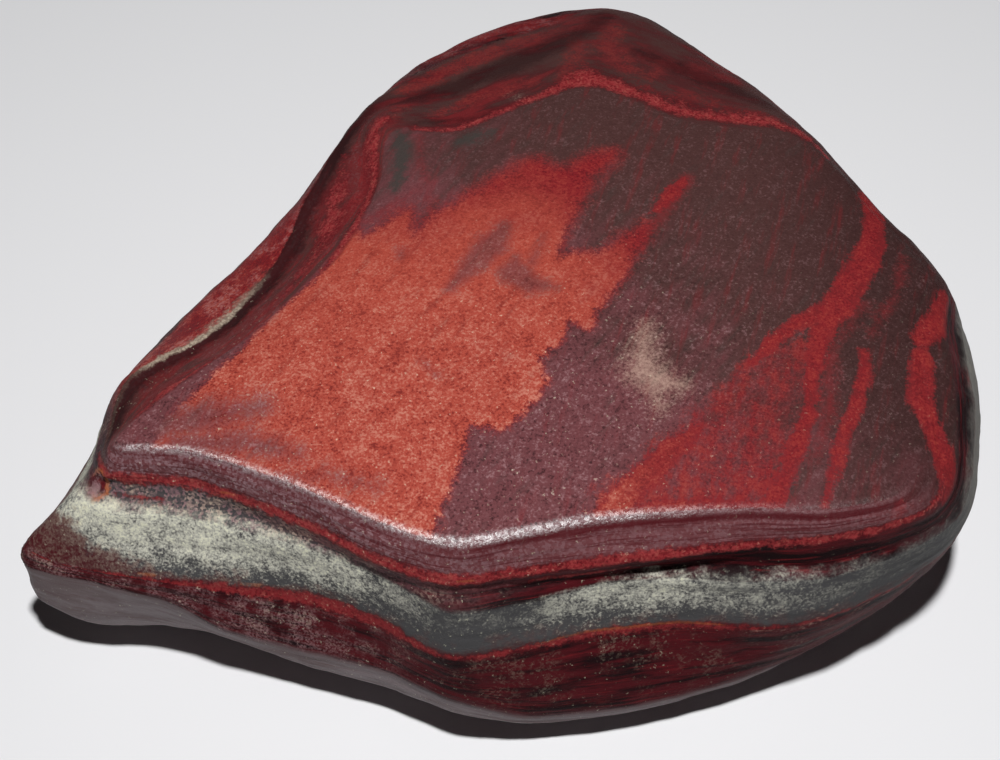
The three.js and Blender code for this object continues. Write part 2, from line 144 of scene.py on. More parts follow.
GREY_MIDDLE = [
    [-48, -29.5, 18.6], [-45.2, -31.2, 19.3], [-41.4, -32.4, 19.5], [-34.6, -33, 19.5],
    [-28.2, -34.2, 19.5], [-21, -35.8, 19.4], [-13.4, -38.7, 19.4], [-5.8, -42.7, 19.5],
    [0.5, -41.6, 19.4], [8, -39.9, 19.2], [16.4, -39, 18.9], [24.4, -39.4, 18.8],
    [33, -38.4, 18.9], [46.8, -29.9, 18.6], [49.6, -21.4, 20.6], [51.2, -9, 19.8],
    [50.6, -1.4, 18.2], [44.8, 12.2, 18], [38.9, 25.4, 15.8], [29.5, 38.4, 14.8],
    [15.3, 48.6, 13.2], [2.8, 47.4, 14.4], [-11.2, 39.2, 15.2], [-19.3, 30.6, 15.8],
    [-27.3, 15, 15.8], [-33.1, 6.7, 15.2], [-40.5, -3.6, 15.2], [-44.3, -15.2, 15.8],
    [-46.7, -25.8, 17.6],
]
GREY_FOOT = [
    [-50.4, -30.5, 16.1], [-47.6, -32.4, 15.9], [-42.8, -33.9, 16.3], [-35.5, -35, 16.1],
    [-29.2, -35.6, 16], [-21.7, -36.5, 15.9], [-13.8, -39.2, 15.9], [-5.8, -43.7, 16],
    [1, -42.7, 16], [8.1, -40.9, 15.9], [17, -39.9, 15.8], [25.2, -40.2, 15.8],
    [33.4, -38.6, 15.8], [47.3, -28.8, 14.6], [50.2, -20.8, 16.4], [52.1, -9.6, 16],
    [50.8, -1.6, 15], [45.2, 12.4, 15], [39.2, 25.4, 13.2], [29.6, 38, 12.2],
    [15.2, 47.8, 10.8], [2.8, 46.8, 11.8], [-11.2, 38.8, 12.6], [-19.5, 30.4, 13],
    [-28.6, 15.6, 13], [-35, 7.6, 12.6], [-41.3, -3.8, 12.8], [-45.2, -15.8, 13.6],
    [-49.2, -27.4, 15.2],
]
BELLY = [
    [-51.4, -30.9, 14.4], [-48, -32.9, 15.1], [-43, -34.2, 15.2], [-35.9, -35.5, 14.6],
    [-29.3, -36.8, 12.9], [-22, -38.3, 12], [-14.2, -40.4, 12], [-5.7, -44.6, 12],
    [1.2, -44.5, 11.2], [8.3, -43.4, 11], [17.8, -41.8, 10.6], [26, -40.6, 10.4],
    [34.2, -37.4, 9.8], [46.6, -28.4, 9.8], [50.2, -21.2, 12.2], [51.6, -10.2, 12.4],
    [50.3, -2, 12], [44.6, 11.6, 11.6], [38.6, 24.4, 10], [28.8, 36.6, 9],
    [14.6, 45.8, 7.8], [2.4, 45, 8.6], [-11, 37.6, 9.4], [-19.2, 29.2, 9.8],
    [-28.4, 14.8, 10], [-34.8, 6.8, 9.8], [-41.4, -4.4, 10.2], [-46, -16.4, 11.4],
    [-50.4, -28.4, 13.6],
]
KEEL = [
    [-51.1, -31.4, 13.4], [-48, -33.2, 14.2], [-43, -34.3, 14.2], [-36.2, -35.6, 12.8],
    [-29.2, -37.6, 10], [-22.1, -39.3, 9.2], [-14.1, -41.3, 9], [-5.4, -45.2, 8.8],
    [1.5, -45.6, 6.4], [8.5, -44.9, 6], [18, -43, 5.8], [26.2, -40.2, 5.8],
    [34.2, -36, 5.6], [45, -28.2, 6.6], [48.8, -21.6, 8.4], [49.6, -11, 8.6],
    [48.4, -3, 8.2], [42.8, 10, 8], [36.8, 22.4, 7], [27, 34.2, 6.2],
    [13.4, 42.8, 5.2], [1.8, 42, 5.8], [-10.4, 35, 6.4], [-18.2, 27.2, 6.8],
    [-27.2, 13.4, 7], [-33.6, 5.4, 7], [-40.6, -5.2, 7.6], [-45.8, -17.2, 9],
    [-50, -28.6, 12],
]
HEEL = [
    [-50.2, -31.5, 6.3], [-47.5, -33.2, 5.8], [-43.2, -34, 5.2], [-36.4, -34, 5],
    [-29.4, -35.8, 5.2], [-22.2, -38.7, 5.2], [-14.1, -41.2, 5.2], [-4.8, -44.6, 5.2],
    [1.5, -44.6, 3.6], [8.4, -43.8, 3.4], [17.6, -41.8, 3.4], [25.6, -38.8, 3.4],
    [33.2, -34.4, 3.4], [42.4, -26.8, 3.8], [45.8, -20.8, 4.6], [46.4, -11.4, 4.8],
    [45, -3.6, 4.6], [39.4, 8.6, 4.4], [33.6, 20, 4], [24.4, 31, 3.6],
    [11.8, 38.8, 3.2], [0.8, 38, 3.6], [-9.6, 31.6, 3.8], [-16.8, 24.4, 4],
    [-25, 11.6, 4.2], [-31.2, 3.6, 4.2], [-37.8, -6.2, 4.6], [-43.8, -17.4, 5],
    [-47.8, -27.8, 6],
]
SOLE = [
    [-38, -25, 1.4], [-36.5, -26.4, 1.4], [-34, -27.4, 1.3], [-29.6, -28.2, 1.3],
    [-24.2, -29.8, 1.3], [-18.4, -31.8, 1.3], [-12, -33.6, 1.3], [-4.4, -35.6, 1.3],
    [1.4, -35.6, 1.2], [7.6, -34.8, 1.2], [15.2, -33, 1.2], [22, -30.4, 1.2],
    [28.4, -26.8, 1.2], [34.4, -21.4, 1.2], [37, -16.6, 1.3], [37.2, -9.4, 1.3],
    [36, -4, 1.3], [31.2, 6, 1.3], [26.6, 14.6, 1.2], [19.4, 23, 1.2],
    [9.6, 28.8, 1.2], [0.8, 28.2, 1.2], [-7.6, 23.4, 1.2], [-13.4, 17.8, 1.2],
    [-19.6, 8.2, 1.3], [-24.6, 1.6, 1.3], [-29.8, -6, 1.3], [-34.4, -14.4, 1.4],
    [-37.2, -21.8, 1.4],
]
FOOT = [
    [-21, -16.4, 0], [-20.2, -17.8, 0], [-18.8, -19, 0], [-16.6, -20.4, 0],
    [-13.6, -21.8, 0], [-10.2, -23, 0], [-6.4, -24, 0], [-2, -24.8, 0],
    [1.6, -24.8, 0], [5.6, -24.4, 0], [10.2, -23.2, 0], [14.4, -21.4, 0],
    [18.4, -18.8, 0], [22, -15.4, 0], [23.6, -12, 0], [23.8, -7.8, 0],
    [23.2, -4, 0], [20.4, 1.4, 0], [17.2, 6, 0], [12.6, 10.2, 0],
    [6.8, 13, 0], [1.8, 12.6, 0], [-3.4, 10.2, 0], [-7.4, 7.2, 0],
    [-11.4, 2.4, 0], [-14.6, -1.4, 0], [-17.6, -5.6, 0], [-20, -10.4, 0],
    [-21, -14.2, 0],
]
# Each ring with the bed it follows, as a depth in mm through the layers, and the rows of mesh
# between it and the ring before.
RINGS = [
    (BROW, 1.0, 12), (SEAM, 2.0, 8), (HOLLOW, 3.0, 12), (LIP_TOP, 4.0, 8), (LIP, 4.9, 10),
    (RECESS, 5.4, 6), (CRACK, 7.0, 8), (GREY_TOP, 7.3, 8), (GREY_MIDDLE, 10.0, 14),
    (GREY_FOOT, 13.0, 14), (BELLY, 17.0, 14), (KEEL, 22.0, 14), (HEEL, 26.0, 14),
    (SOLE, 32.0, 12), (FOOT, 36.0, 8),
]
INNER_SHARE = 0.94
BEDS_PER_STATION = 8.0
TOP_POWER = 5
# Scars knocked out of the surface: place, radius and depth in mm. The first is a fresh flake.
SCARS = [((-42.6, -28.6, 24.0), 2.6, 0.8), ((24.6, -40.6, 12.0), 1.8, 0.4)]
FLAKE_PLACE, FLAKE_REACH = SCARS[0][0], SCARS[0][1] * 0.7
# Wear of the surface: its share on the flat top, the beds over which it starts, and those over
# which it fades at the foot, then the scales of its noise to the millimetre and to the bed
TOP_WEAR = 0.12
WEAR_START, WEAR_FULL = 0.5, 2.0
FOOT_BED = RINGS[-1][1]
FOOT_FADE = 6.0
SWELL_SCALE = 0.22
GROOVE_SCALE = 0.07
GROOVE_BED_SCALE = 1.1
LUMP_SCALE = 0.55
# The lumps stand along one bed of the front lip, and fade over this many beds.
LUMP_BED = 4.45
LUMP_REACH = 0.5
LUMP_STATIONS = [(0, 1), (11, 1), (13, 0), (27.6, 0), (29, 1)]

# Jasper on the flat top, in plan, mm
PATCH = [
    (-34.2, -23.4), (-31.1, -19.3), (-28, -14.8), (-25.5, -11.2), (-23.3, -8), (-21.2, -5.3),
    (-19.4, -2.6), (-18.4, 0.4), (-17, 2), (-16, 0.6), (-14.6, 1.6), (-13, 3),
    (-11, 4.6), (-10.5, 3.4), (-10.8, 1.4), (-10.4, 0.2), (-9.4, 1.6), (-8.2, 3.9), (-6, 5),
    (-4.5, 6.5), (-3, 7.3), (-1.5, 9), (0, 10), (1.5, 11.2), (3.5, 12),
    (5, 10.6), (6.8, 10.8), (8.5, 12), (10, 12.8), (12.2, 13.4), (10.8, 11),
    (9.2, 9.5), (9, 8.3), (8, 5.8), (7, 3.3), (6, 0.8), (5.3, -1.5),
    (5.5, -2.8), (7, -2.2), (9.5, -2.6), (11, -1.5), (12.5, 0.2), (14.9, 1.8),
    (14.8, 0.2), (13.6, -2), (13, -4), (12.3, -5.5), (11.3, -7), (10.4, -8),
    (9.3, -10.5), (8.4, -13), (7.5, -12.5), (6.4, -12), (5.5, -14.5), (3, -17),
    (3.2, -19), (4, -20), (2.5, -22), (0.5, -24.8), (-1, -25.8), (-4, -25.5),
    (-4.3, -28), (-5, -30), (-6, -32.5), (-6.8, -35), (-7.6, -40), (-14, -40),
    (-20, -36), (-26, -33), (-30, -30), (-36, -28),
]
# The red wash between two streaks at the right of the top, in plan, mm
WASH = [
    (31.6, -14.6), (27.6, -14.2), (24, -18), (20, -22.4), (17, -25.6), (13.6, -28.6),
    (9, -33), (6.5, -38), (23, -38), (25.6, -33), (27.8, -29), (29.6, -25), (30.4, -21), (31.2, -17),
]
# Jasper streaks on the top, in plan: lines of (x, y, half width)
STREAKS = [
    [(41, 9, 0.9), (40.7, 5, 1.0), (40, 1, 1.2), (38.6, -2.6, 1.4), (36.6, -6.2, 1.6), (34.4, -9.6, 1.4),
     (33.4, -11.6, 0.9), (32.6, -13.4, 0.9), (31.8, -16.2, 0.8), (31, -19.2, 0.5), (30.6, -22.4, 0.45),
     (29.4, -25.4, 0.7), (28.4, -28, 0.9), (27.2, -31, 0.7), (25.6, -34.4, 0.9), (24.6, -37, 0.9)],
    [(34.2, -9.8, 1), (31, -11.2, 0.8), (28.8, -13, 0.6), (27, -15, 0.5), (25.2, -17.2, 0.15)],
    [(36.6, -15.4, 0.3), (36.5, -18, 0.6), (35.5, -20.8, 0.55), (34.8, -23.6, 0.5),
     (33.2, -26.6, 0.5), (32.1, -29.8, 0.5), (31, -33.4, 0.35), (30.4, -36, 0.2)],
    [(16, 4, 0.1), (17.2, 5.4, 0.5), (18.4, 7.2, 0.7), (19.6, 9.2, 0.2)],
    [(18.8, -25.6, 0.3), (16.6, -27.8, 1), (13.4, -31, 1.2), (10.6, -34.4, 1.3), (9, -37, 1)],
    [(24.6, -34.6, 0.2), (20, -34.6, 0.7), (15, -35, 0.9), (11, -35.6, 0.6)],
    [(38.4, -34, 0.25), (37.6, -35.6, 0.45), (36.8, -37.2, 0.3)],
    [(47.2, -5.6, 0.5), (46.5, -8.4, 1.1), (44.9, -11.2, 1.3), (43.2, -13.3, 0.9)],
    [(42.7, -15.6, 1), (42.4, -17.6, 1.2), (42, -20.2, 1.3), (41.9, -21.6, 1.3), (42.6, -24, 0.9),
     (43.1, -26.4, 1), (43.6, -28.6, 1.1), (43.8, -31, 0.7), (43.5, -33, 0.35), (42, -35, 0.3),
     (40, -36.6, 0.3)],
    [(48.6, -13.6, 0.3), (47.9, -16.4, 0.5), (47.2, -19, 0.3)],
]
# Dull streaks and blushes of red in the hematite and on the back: lines of (x, y, half width)
BLUSHES = [
    [(14.4, -1.6, 0.6), (15.4, 1.4, 0.9), (17.6, 4.4, 0.6), (19.8, 9, 0.9)],
    [(43, -2, 0.25), (42, -5, 0.3), (41, -8, 0.35), (39, -11, 0.3), (38, -13, 0.2)],
    [(37.4, -9, 0.5), (36, -11.6, 0.5), (34.4, -14, 0.2)],
    [(33.4, -15, 0.6), (32.4, -22, 0.7), (30.4, -29, 0.7)],
    [(-10.4, 17.2, 0.35), (-10.1, 14.4, 0.3), (-9.8, 11.4, 0.35), (-9, 8.6, 0.3)],
    [(-16, 3.2, 0.5), (-13, 5.2, 0.7), (-10.6, 7.6, 0.4)],
    [(-9.8, 2, 0.5), (-8.6, 6, 0.5)],
    [(-12, 28.3, 1.2), (-6, 33.3, 1.7), (0, 37.1, 1.5), (6, 40.2, 0.8)],
    [(-8.6, 21.8, 0.8), (-3.4, 25.2, 1.1), (3, 27.6, 0.7)],
    [(-14.8, 20.6, 0.9), (-12.8, 24, 0.9)],
    [(6.4, 27.6, 0.8), (9, 34.4, 1.3), (8.4, 37.4, 0.8)],
    [(13, 40.2, 1.2), (12.2, 35, 1.6), (14.4, 29.8, 1.2)],
    [(17, 28.4, 0.6), (18.4, 31.4, 0.7)],
    [(15, 26.2, 0.5), (22, 24.2, 0.7), (30, 21.8, 0.6)],
]
# Dark clouds in the jasper and dark lines at the edge of the top: lines of (x, y, half width)
CLOUDS = [
    [(-0.6, 1.4, 1), (-2, -1.2, 2), (-4.2, -4, 1.5), (-6.2, -7, 0.7)],
    [(0.8, -3, 0.8), (0.6, -5, 2), (2.2, -6.6, 1.6), (5, -7, 0.4)],
    [(-12, -1.6, 0.3), (-11.6, -2.6, 0.2)],
    [(-9, -17, 0.1), (-7.6, -19, 0)],
    [(4, 0.4, 0.2), (2.4, -3.4, 0.7)],
    [(-20, -1, -0.1), (-22.4, -4.6, 0), (-25, -9.5, 0), (-29.2, -14.4, 0), (-32.6, -19.4, 0.3),
     (-36, -23.8, 0.8)],
    [(-13.4, 17, 0.2), (-14, 12, 0.5), (-15, 7.6, 0.5), (-16.2, 4.6, 0.2)],
    [(-13, 19.8, 0.3), (-4, 20.4, 0.35), (0, 22.8, 0.3)],
    [(-14, 25, 0.4), (-7, 27.6, 1.6), (0, 31.8, 2.2), (6, 36.2, 1.8), (10, 39.4, 1.6), (12, 42.6, 1.6)],
    [(11, 29, 0.5), (16, 25, 0.5), (22, 23, 0.4)],
    [(16, 34, 0.8), (23, 29.6, 1.6), (31, 24.6, 1.2)],
]
# A purple veil over the jasper at the front left: lines of (x, y, half width)
VEILS = [
    [(-37, -25.4, 2), (-30.6, -24, 2.4), (-25, -22.8, 1)],
    [(-33, -27.4, 2), (-26.4, -27, 1.6), (-21, -28.6, 0.4)],
    [(-23, -31.4, 0), (-18, -31, 0.3), (-13, -32.4, 0)],
]
# The pale scuff on the top, and a pale speck near the back: lines of (x, y, half width)
SCUFFS = [
    [(14.4, -12.4, 0.3), (14, -15.6, 0.9), (13.6, -18.6, 1.7), (15.4, -19.8, 1.8), (17.4, -20.2, 0.5)],
    [(14.8, -20, 0.9), (15.2, -23, 0.2)],
    [(1, 24.2, -0.5), (1.2, 24.2, -0.5)],
]
# Grey green patches near the back left corner: lines of (x, y, half width)
SLATES = [
    [(-12.7, 18, 0.5), (-12.2, 15, 1.3), (-12.2, 11.4, 0.9), (-12.8, 8, 0.3)],
    [(-5.4, 16, 1), (-2, 17.4, 0.6)],
]
# Deep red veins round the sides: lines of (station, bed, half width in beds)
VEINS = [
    [(0, 4.45, 0.3), (1, 4.5, 0.5), (3, 4.45, 0.6), (5, 4.45, 0.5), (7, 4.5, 0.62), (8, 4.5, 0.5),
     (10, 4.45, 0.5), (12.4, 4.4, 0.34), (13.1, 4.2, 0.25)],
    [(28.4, 4.5, 0.05), (29, 4.45, 0.26)],
    [(0.2, 13.8, 0), (2, 13.3, 0.15), (4, 13.5, 0.6), (6, 13.5, 0.8), (7, 13.3, 0.2), (8.5, 13.3, 0.25),
     (10, 13.2, 0.3), (12, 13.3, 0.15), (14, 13.4, 0.05), (16, 13.4, -0.1)],
    [(0.1, 5.9, 0.15), (0.8, 6, 0.25), (1.4, 6.1, 0.1)],
    [(1.8, 6.5, 0.1), (2.2, 6.6, 0.2), (2.7, 6.7, 0.1)],
    [(8.2, 6.1, 0.15), (8.8, 6.2, 0.3), (9.6, 6.2, 0.15)],
    [(22.7, 0.9, 0.1), (22, 0.95, 0.22), (21, 1.15, 0.22), (20.5, 1.2, 0.3), (20, 1.45, 0.5),
     (19.6, 1.5, 0.34), (19, 1.7, 0.32), (18.4, 2, 0.28), (18, 2.35, 0.25), (17.6, 2.6, 0.12)],
    [(22.9, 1.9, 0.2), (23.3, 1.95, 0.3), (23.85, 1.7, 0.3), (24.33, 1.3, 0.3), (24.6, 0.9, 0.26),
     (24.9, 0.6, 0.26), (25.1, 0.6, 0.1)],
    [(23.6, 2.8, 0), (24.1, 2.6, 0.1), (24.5, 2.35, 0.16), (25, 2.1, 0.14), (25.5, 1.9, 0)],
    [(26.4, 1.2, 0.1), (26.8, 1.3, 0.35), (27.1, 1.4, 0.5), (27.6, 1.3, 0.45), (27.9, 1.2, 0.1)],
]
# Thin orange lines and spots on the sides: lines of (station, bed, half width in beds)
AMBERS = [
    [(8.2, 13.1, 0.05), (8.9, 12.9, 0.13), (9.4, 13.1, 0.16), (10, 12.9, 0.16), (10.6, 13, 0.08)],
    [(4.2, 12.7, 0.1), (4.5, 12.6, 0.2)],
    [(2.6, 12.6, 0.1), (2.9, 12.6, 0.2)],
    [(3.6, 4.5, 0.1), (3.8, 4.45, 0.15)],
    [(7.1, 4.5, 0.1), (7.4, 4.5, 0.15)],
]
# A pale scratch across the beds at the right: lines of (station, bed, half width in beds)
SCRATCHES = [
    [(11.4, 15.2, -0.1), (11.7, 13.4, 0.06), (12, 11.6, 0.04), (12.2, 10.2, -0.1)],
    [(10.6, 13.4, -0.1), (11.2, 13.7, 0.02), (12.6, 13.9, -0.1)],
]

# Weights of the sides, of the red lip at the left and of the pale ridge, worn and with a painted highlight,
# by station
STATION_WEIGHTS = {
    "flank": [(0, 0.6), (0.7, 0), (17.2, 0), (18.6, 1), (28, 1), (29, 0.6)],
    "back": [(0, 0), (16.6, 0), (18, 1), (22.4, 1), (23.4, 0), (29, 0)],
    "right": [(0, 0), (12.2, 0), (13.4, 1), (17.6, 1), (18.8, 0), (29, 0)],
    "lip": [(0, 0), (23.4, 0), (24.4, 1), (26.8, 1), (27.6, 0.2), (29, 0)],
    "ridge": [(0, 0.2), (0.6, 0), (25, 0), (25.6, 0.7), (26, 1), (26.6, 0.9), (27, 0.2), (29, 0.2)],
}
PLAN_OUTLINES = {"patch": PATCH, "wash": WASH}
PLAN_STROKES = {
    "streak": STREAKS, "blush": BLUSHES, "cloud": CLOUDS, "veil": VEILS, "scuff": SCUFFS, "slate": SLATES,
}
SIDE_STROKES = {"vein": VEINS, "amber": AMBERS, "scratch": SCRATCHES}

# The camera: its place in metres, and its tilt up from straight down
CAMERA_PLACE = (-0.00135, -0.13303, 0.17260)
CAMERA_TILT = math.radians(38)
SENSOR_WIDTH = 36
NEAR_LIMIT = 0.01
# Lamps: name, place and side in metres, and the property that holds the power
LAMPS = [
    ("key", (0.012, -0.090, 0.400), 0.022, "key_power"),
    ("overhead", (0.0, 0.0, 0.9), 0.6, "overhead_power"),
    ("left_rear", (-0.55, 0.45, 0.32), 0.4, "rear_power"),
    ("right_rear", (0.55, 0.45, 0.32), 0.4, "rear_power"),
]
LAMP_TARGET = (0, 0, 0.015)
FLOOR_ROUGHNESS = 0.7


def spline_cubic(before, start, end, after, step):
    """The cubic of a centripetal spline between start and end, at step from 0 to 1."""
    def gap(a, b):
        return np.maximum(np.linalg.norm(b - a, axis=-1, keepdims=True), 1e-8) ** 0.5

    d0, d1, d2 = gap(before, start), gap(start, end), gap(end, after)
    t1 = ((start - before) / d0 - (end - before) / (d0 + d1) + (end - start) / d1) * d1
    t2 = ((end - start) / d1 - (after - start) / (d1 + d2) + (after - end) / d2) * d1
    return (
        (2 * start - 2 * end + t1 + t2) * step**3
        + (-3 * start + 3 * end - 2 * t1 - t2) * step**2
        + t1 * step
        + start
    )


def round_ring(ring, stations):
    """Points of a closed ring at fractional station numbers."""
    points = np.array(ring, float)
    count = len(points)
    low = np.floor(stations).astype(int) % count
    step = (stations - np.floor(stations))[:, None]
    corners = [points[(low + k) % count] for k in (-1, 0, 1, 2)]
    return spline_cubic(*corners, step)


def down_slice(knots, places):
    """Points of the open spline down each slice: knots is (rings, around, 3)."""
    first = 2 * knots[0] - knots[1]
    last = 2 * knots[-1] - knots[-2]
    padded = np.concatenate([first[None], knots, last[None]])
    low = np.minimum(np.floor(places).astype(int), len(knots) - 2)
    step = (places - low)[:, None, None]
    return spline_cubic(padded[low], padded[low + 1], padded[low + 2], padded[low + 3], step)


def even_stations(ring, around):
    """Station numbers that space the samples evenly along a ring."""
    fine = np.linspace(0, len(ring), 4001)
    line = round_ring(ring, fine[:-1])
    line = np.vstack([line, line[:1]])
    length = np.concatenate([[0], np.cumsum(np.linalg.norm(np.diff(line, axis=0), axis=1))])
    return np.interp(np.arange(around) / around * length[-1], length, fine)


def by_station(stations, table):
    """A weight that changes smoothly round the stone."""
    place, value = np.array(table, float).T
    share = np.interp(stations, place, value)
    return share * share * (3 - 2 * share)


def stroke_distance(plan, stroke):
    """Signed distance in plan to a stroke of varying half width, positive inside."""
    best = np.full(len(plan), -1e3)
    for (ax, ay, aw), (bx, by, bw) in zip(stroke, stroke[1:]):
        start, run = np.array([ax, ay]), np.array([bx - ax, by - ay])
        share = np.clip((plan - start) @ run / (run @ run), 0, 1)
        gap = np.linalg.norm(plan - start - share[:, None] * run, axis=1)
        best = np.maximum(best, aw + (bw - aw) * share - gap)
    return best


def outline_distance(plan, outline):
    """Signed distance in plan to a closed outline, positive inside."""
    corners = np.array(outline, float)
    best = np.full(len(plan), 1e3)
    inside = np.zeros(len(plan), bool)
    for start, end in zip(corners, np.roll(corners, -1, axis=0)):
        run = end - start
        share = np.clip((plan - start) @ run / (run @ run), 0, 1)
        best = np.minimum(best, np.linalg.norm(plan - start - share[:, None] * run, axis=1))
        crosses = (start[1] > plan[:, 1]) != (end[1] > plan[:, 1])
        if abs(run[1]) > 1e-9:
            side = start[0] + (plan[:, 1] - start[1]) * run[0] / run[1]
            inside ^= crosses & (plan[:, 0] < side)
    return np.where(inside, best, -best)


def strokes_distance(plan, strokes):
    """Signed distance in plan to the nearest of several strokes."""
    return np.max([stroke_distance(plan, s) for s in strokes], axis=0)


def unrolled_distance(stations, beds, strokes):
    """Signed distance in beds to the nearest of several strokes drawn round the sides."""
    return strokes_distance(
        np.column_stack([stations * BEDS_PER_STATION, beds]),
        [[(place * BEDS_PER_STATION, bed, half) for place, bed, half in stroke] for stroke in strokes],
    )


def rough(points, octaves):
    """Gradient noise from -1 to 1 at each point."""
    return np.array([noise.fractal(Vector(p), 0.9, 2.0, octaves) for p in points])


def length(name, description, default):
    """A length property."""
    return bpy.props.FloatProperty(name=name, description=description, default=default, unit="LENGTH")


def power(name, description, default):
    """A property for the power of a lamp."""
    return bpy.props.FloatProperty(name=name, description=description, default=default, unit="POWER")


def colour(name, description, value):
    """A colour property."""
    return bpy.props.FloatVectorProperty(
        name=name, description=description, subtype="COLOR", size=3, min=0, max=1, default=value
    )


class StoneSizes(bpy.types.PropertyGroup):
    """Sizes of the stone."""

    top_height: length("Top height", "Height of the middle of the flat top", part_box(STONE)[1].z)
    relief: length("Relief", "Depth of the worn unevenness of the sides", 0.16 * MM)
    lamination: length("Lamination", "Depth of the fine grooves along the beds", 0.10 * MM)
    lumps: length("Lumps", "Height of the lumps along the red lip", 0.32 * MM)
    around: bpy.props.IntProperty(name="Samples round", description="Vertices round the stone", default=400)
    top_rows: bpy.props.IntProperty(name="Top rows", description="Rows across the flat top", default=80)


class StoneColours(bpy.types.PropertyGroup):
    """Colours of the beds, linear."""

    jasper: colour("Jasper", "Bright red jasper", (0.385, 0.063, 0.042))
    jasper_pale: colour("Pale jasper", "Pinkish grains in the jasper", (0.52, 0.180, 0.130))
    jasper_deep: colour("Deep jasper", "Dark grains in the jasper", (0.165, 0.018, 0.016))
    crimson: colour("Crimson", "Deep red jasper of the bands", (0.205, 0.015, 0.019))
    rose: colour("Rose", "Pinkish red of the lip and the veins", (0.350, 0.052, 0.052))
    maroon: colour("Maroon", "Dark red jasper of the sides", (0.074, 0.0068, 0.010))
    hematite: colour("Hematite", "Purple hematite of the top", (0.145, 0.046, 0.051))
    hematite_pale: colour("Pale hematite", "Pale grains of the hematite", (0.33, 0.180, 0.190))
    hematite_brown: colour("Brown hematite", "Hematite toward the back", (0.070, 0.030, 0.028))
    slate: colour("Slate", "Grey green hematite", (0.050, 0.044, 0.040))
    dark: colour("Dark bed", "Nearly black bed", (0.012, 0.004, 0.005))
    face: colour("Face", "Purple grey of the face under the brow", (0.27, 0.155, 0.170))
    grey: colour("Grey bed", "Metallic grey bed", (0.56, 0.55, 0.47))
    grey_dark: colour("Dark grains", "Dark grains of the grey bed", (0.070, 0.068, 0.070))
    # Whitish grains, partly painted as glints.
    sparkle: colour("Sparkle", "Whitish grains", (0.86, 0.85, 0.62))
    rim: colour("Rim", "Smooth grey rim on the right", (0.170, 0.158, 0.142))
    under: colour("Underside", "Purple grey underside", (0.185, 0.150, 0.156))
    # Pale worn grains, also painted along the ridge on the left as its highlight.
    ridge: colour("Ridge", "Pale worn grains", (0.42, 0.34, 0.26))
    amber: colour("Amber", "Orange stain", (0.50, 0.150, 0.050))
    scuff: colour("Scuff", "Pale scuff on the top", (0.46, 0.30, 0.24))


class StageSizes(bpy.types.PropertyGroup):
    """Floor, lights and camera."""

    floor_side: length("Floor", "Side of the floor", 3.0)
    floor_colour: colour("Floor colour", "Plain pale floor", (0.80, 0.80, 0.815))
    key_power: power("Key", "Power of the small lamp over the stone", 1.7)
    overhead_power: power("Overhead", "Power of the large soft lamp overhead", 0.01)
    rear_power: power("Rear", "Power of each soft lamp behind the stone", 0.035)
    sky: bpy.props.FloatProperty(
        name="Sky", description="Strength of the even light all round", default=0.002
    )
    lens: bpy.props.FloatProperty(
        name="Lens", description="Focal length in mm on a 36 mm sensor", default=63.82
    )


class Field:
    """A shader value that Python arithmetic can be written on."""

    def __init__(self, finish, socket):
        self.finish = finish
        self.socket = socket

    def __add__(self, other):
        return self.finish.math("ADD", self, other)

    def __sub__(self, other):
        return self.finish.math("SUBTRACT", self, other)

    def __rsub__(self, other):
        return self.finish.math("SUBTRACT", other, self)

    def __mul__(self, other):
        return self.finish.math("MULTIPLY", self, other)

    __radd__ = __add__
    __rmul__ = __mul__

    def rise(self, low, high):
        """0 below low, 1 above high, smooth between."""
        made = self.finish.node(
            "ShaderNodeMapRange", {"interpolation_type": "SMOOTHSTEP", "clamp": True},
            {0: self, 1: low, 2: high, 3: 0.0, 4: 1.0},
        )
        return Field(self.finish, made.outputs[0])

    def band(self, low, high, soft):
        """1 between low and high, with soft edges."""
        return self.rise(low - soft, low + soft) * (1 - self.rise(high - soft, high + soft))

    def least(self, other):
        """The smaller of the two."""
        return self.finish.math("MINIMUM", self, other)


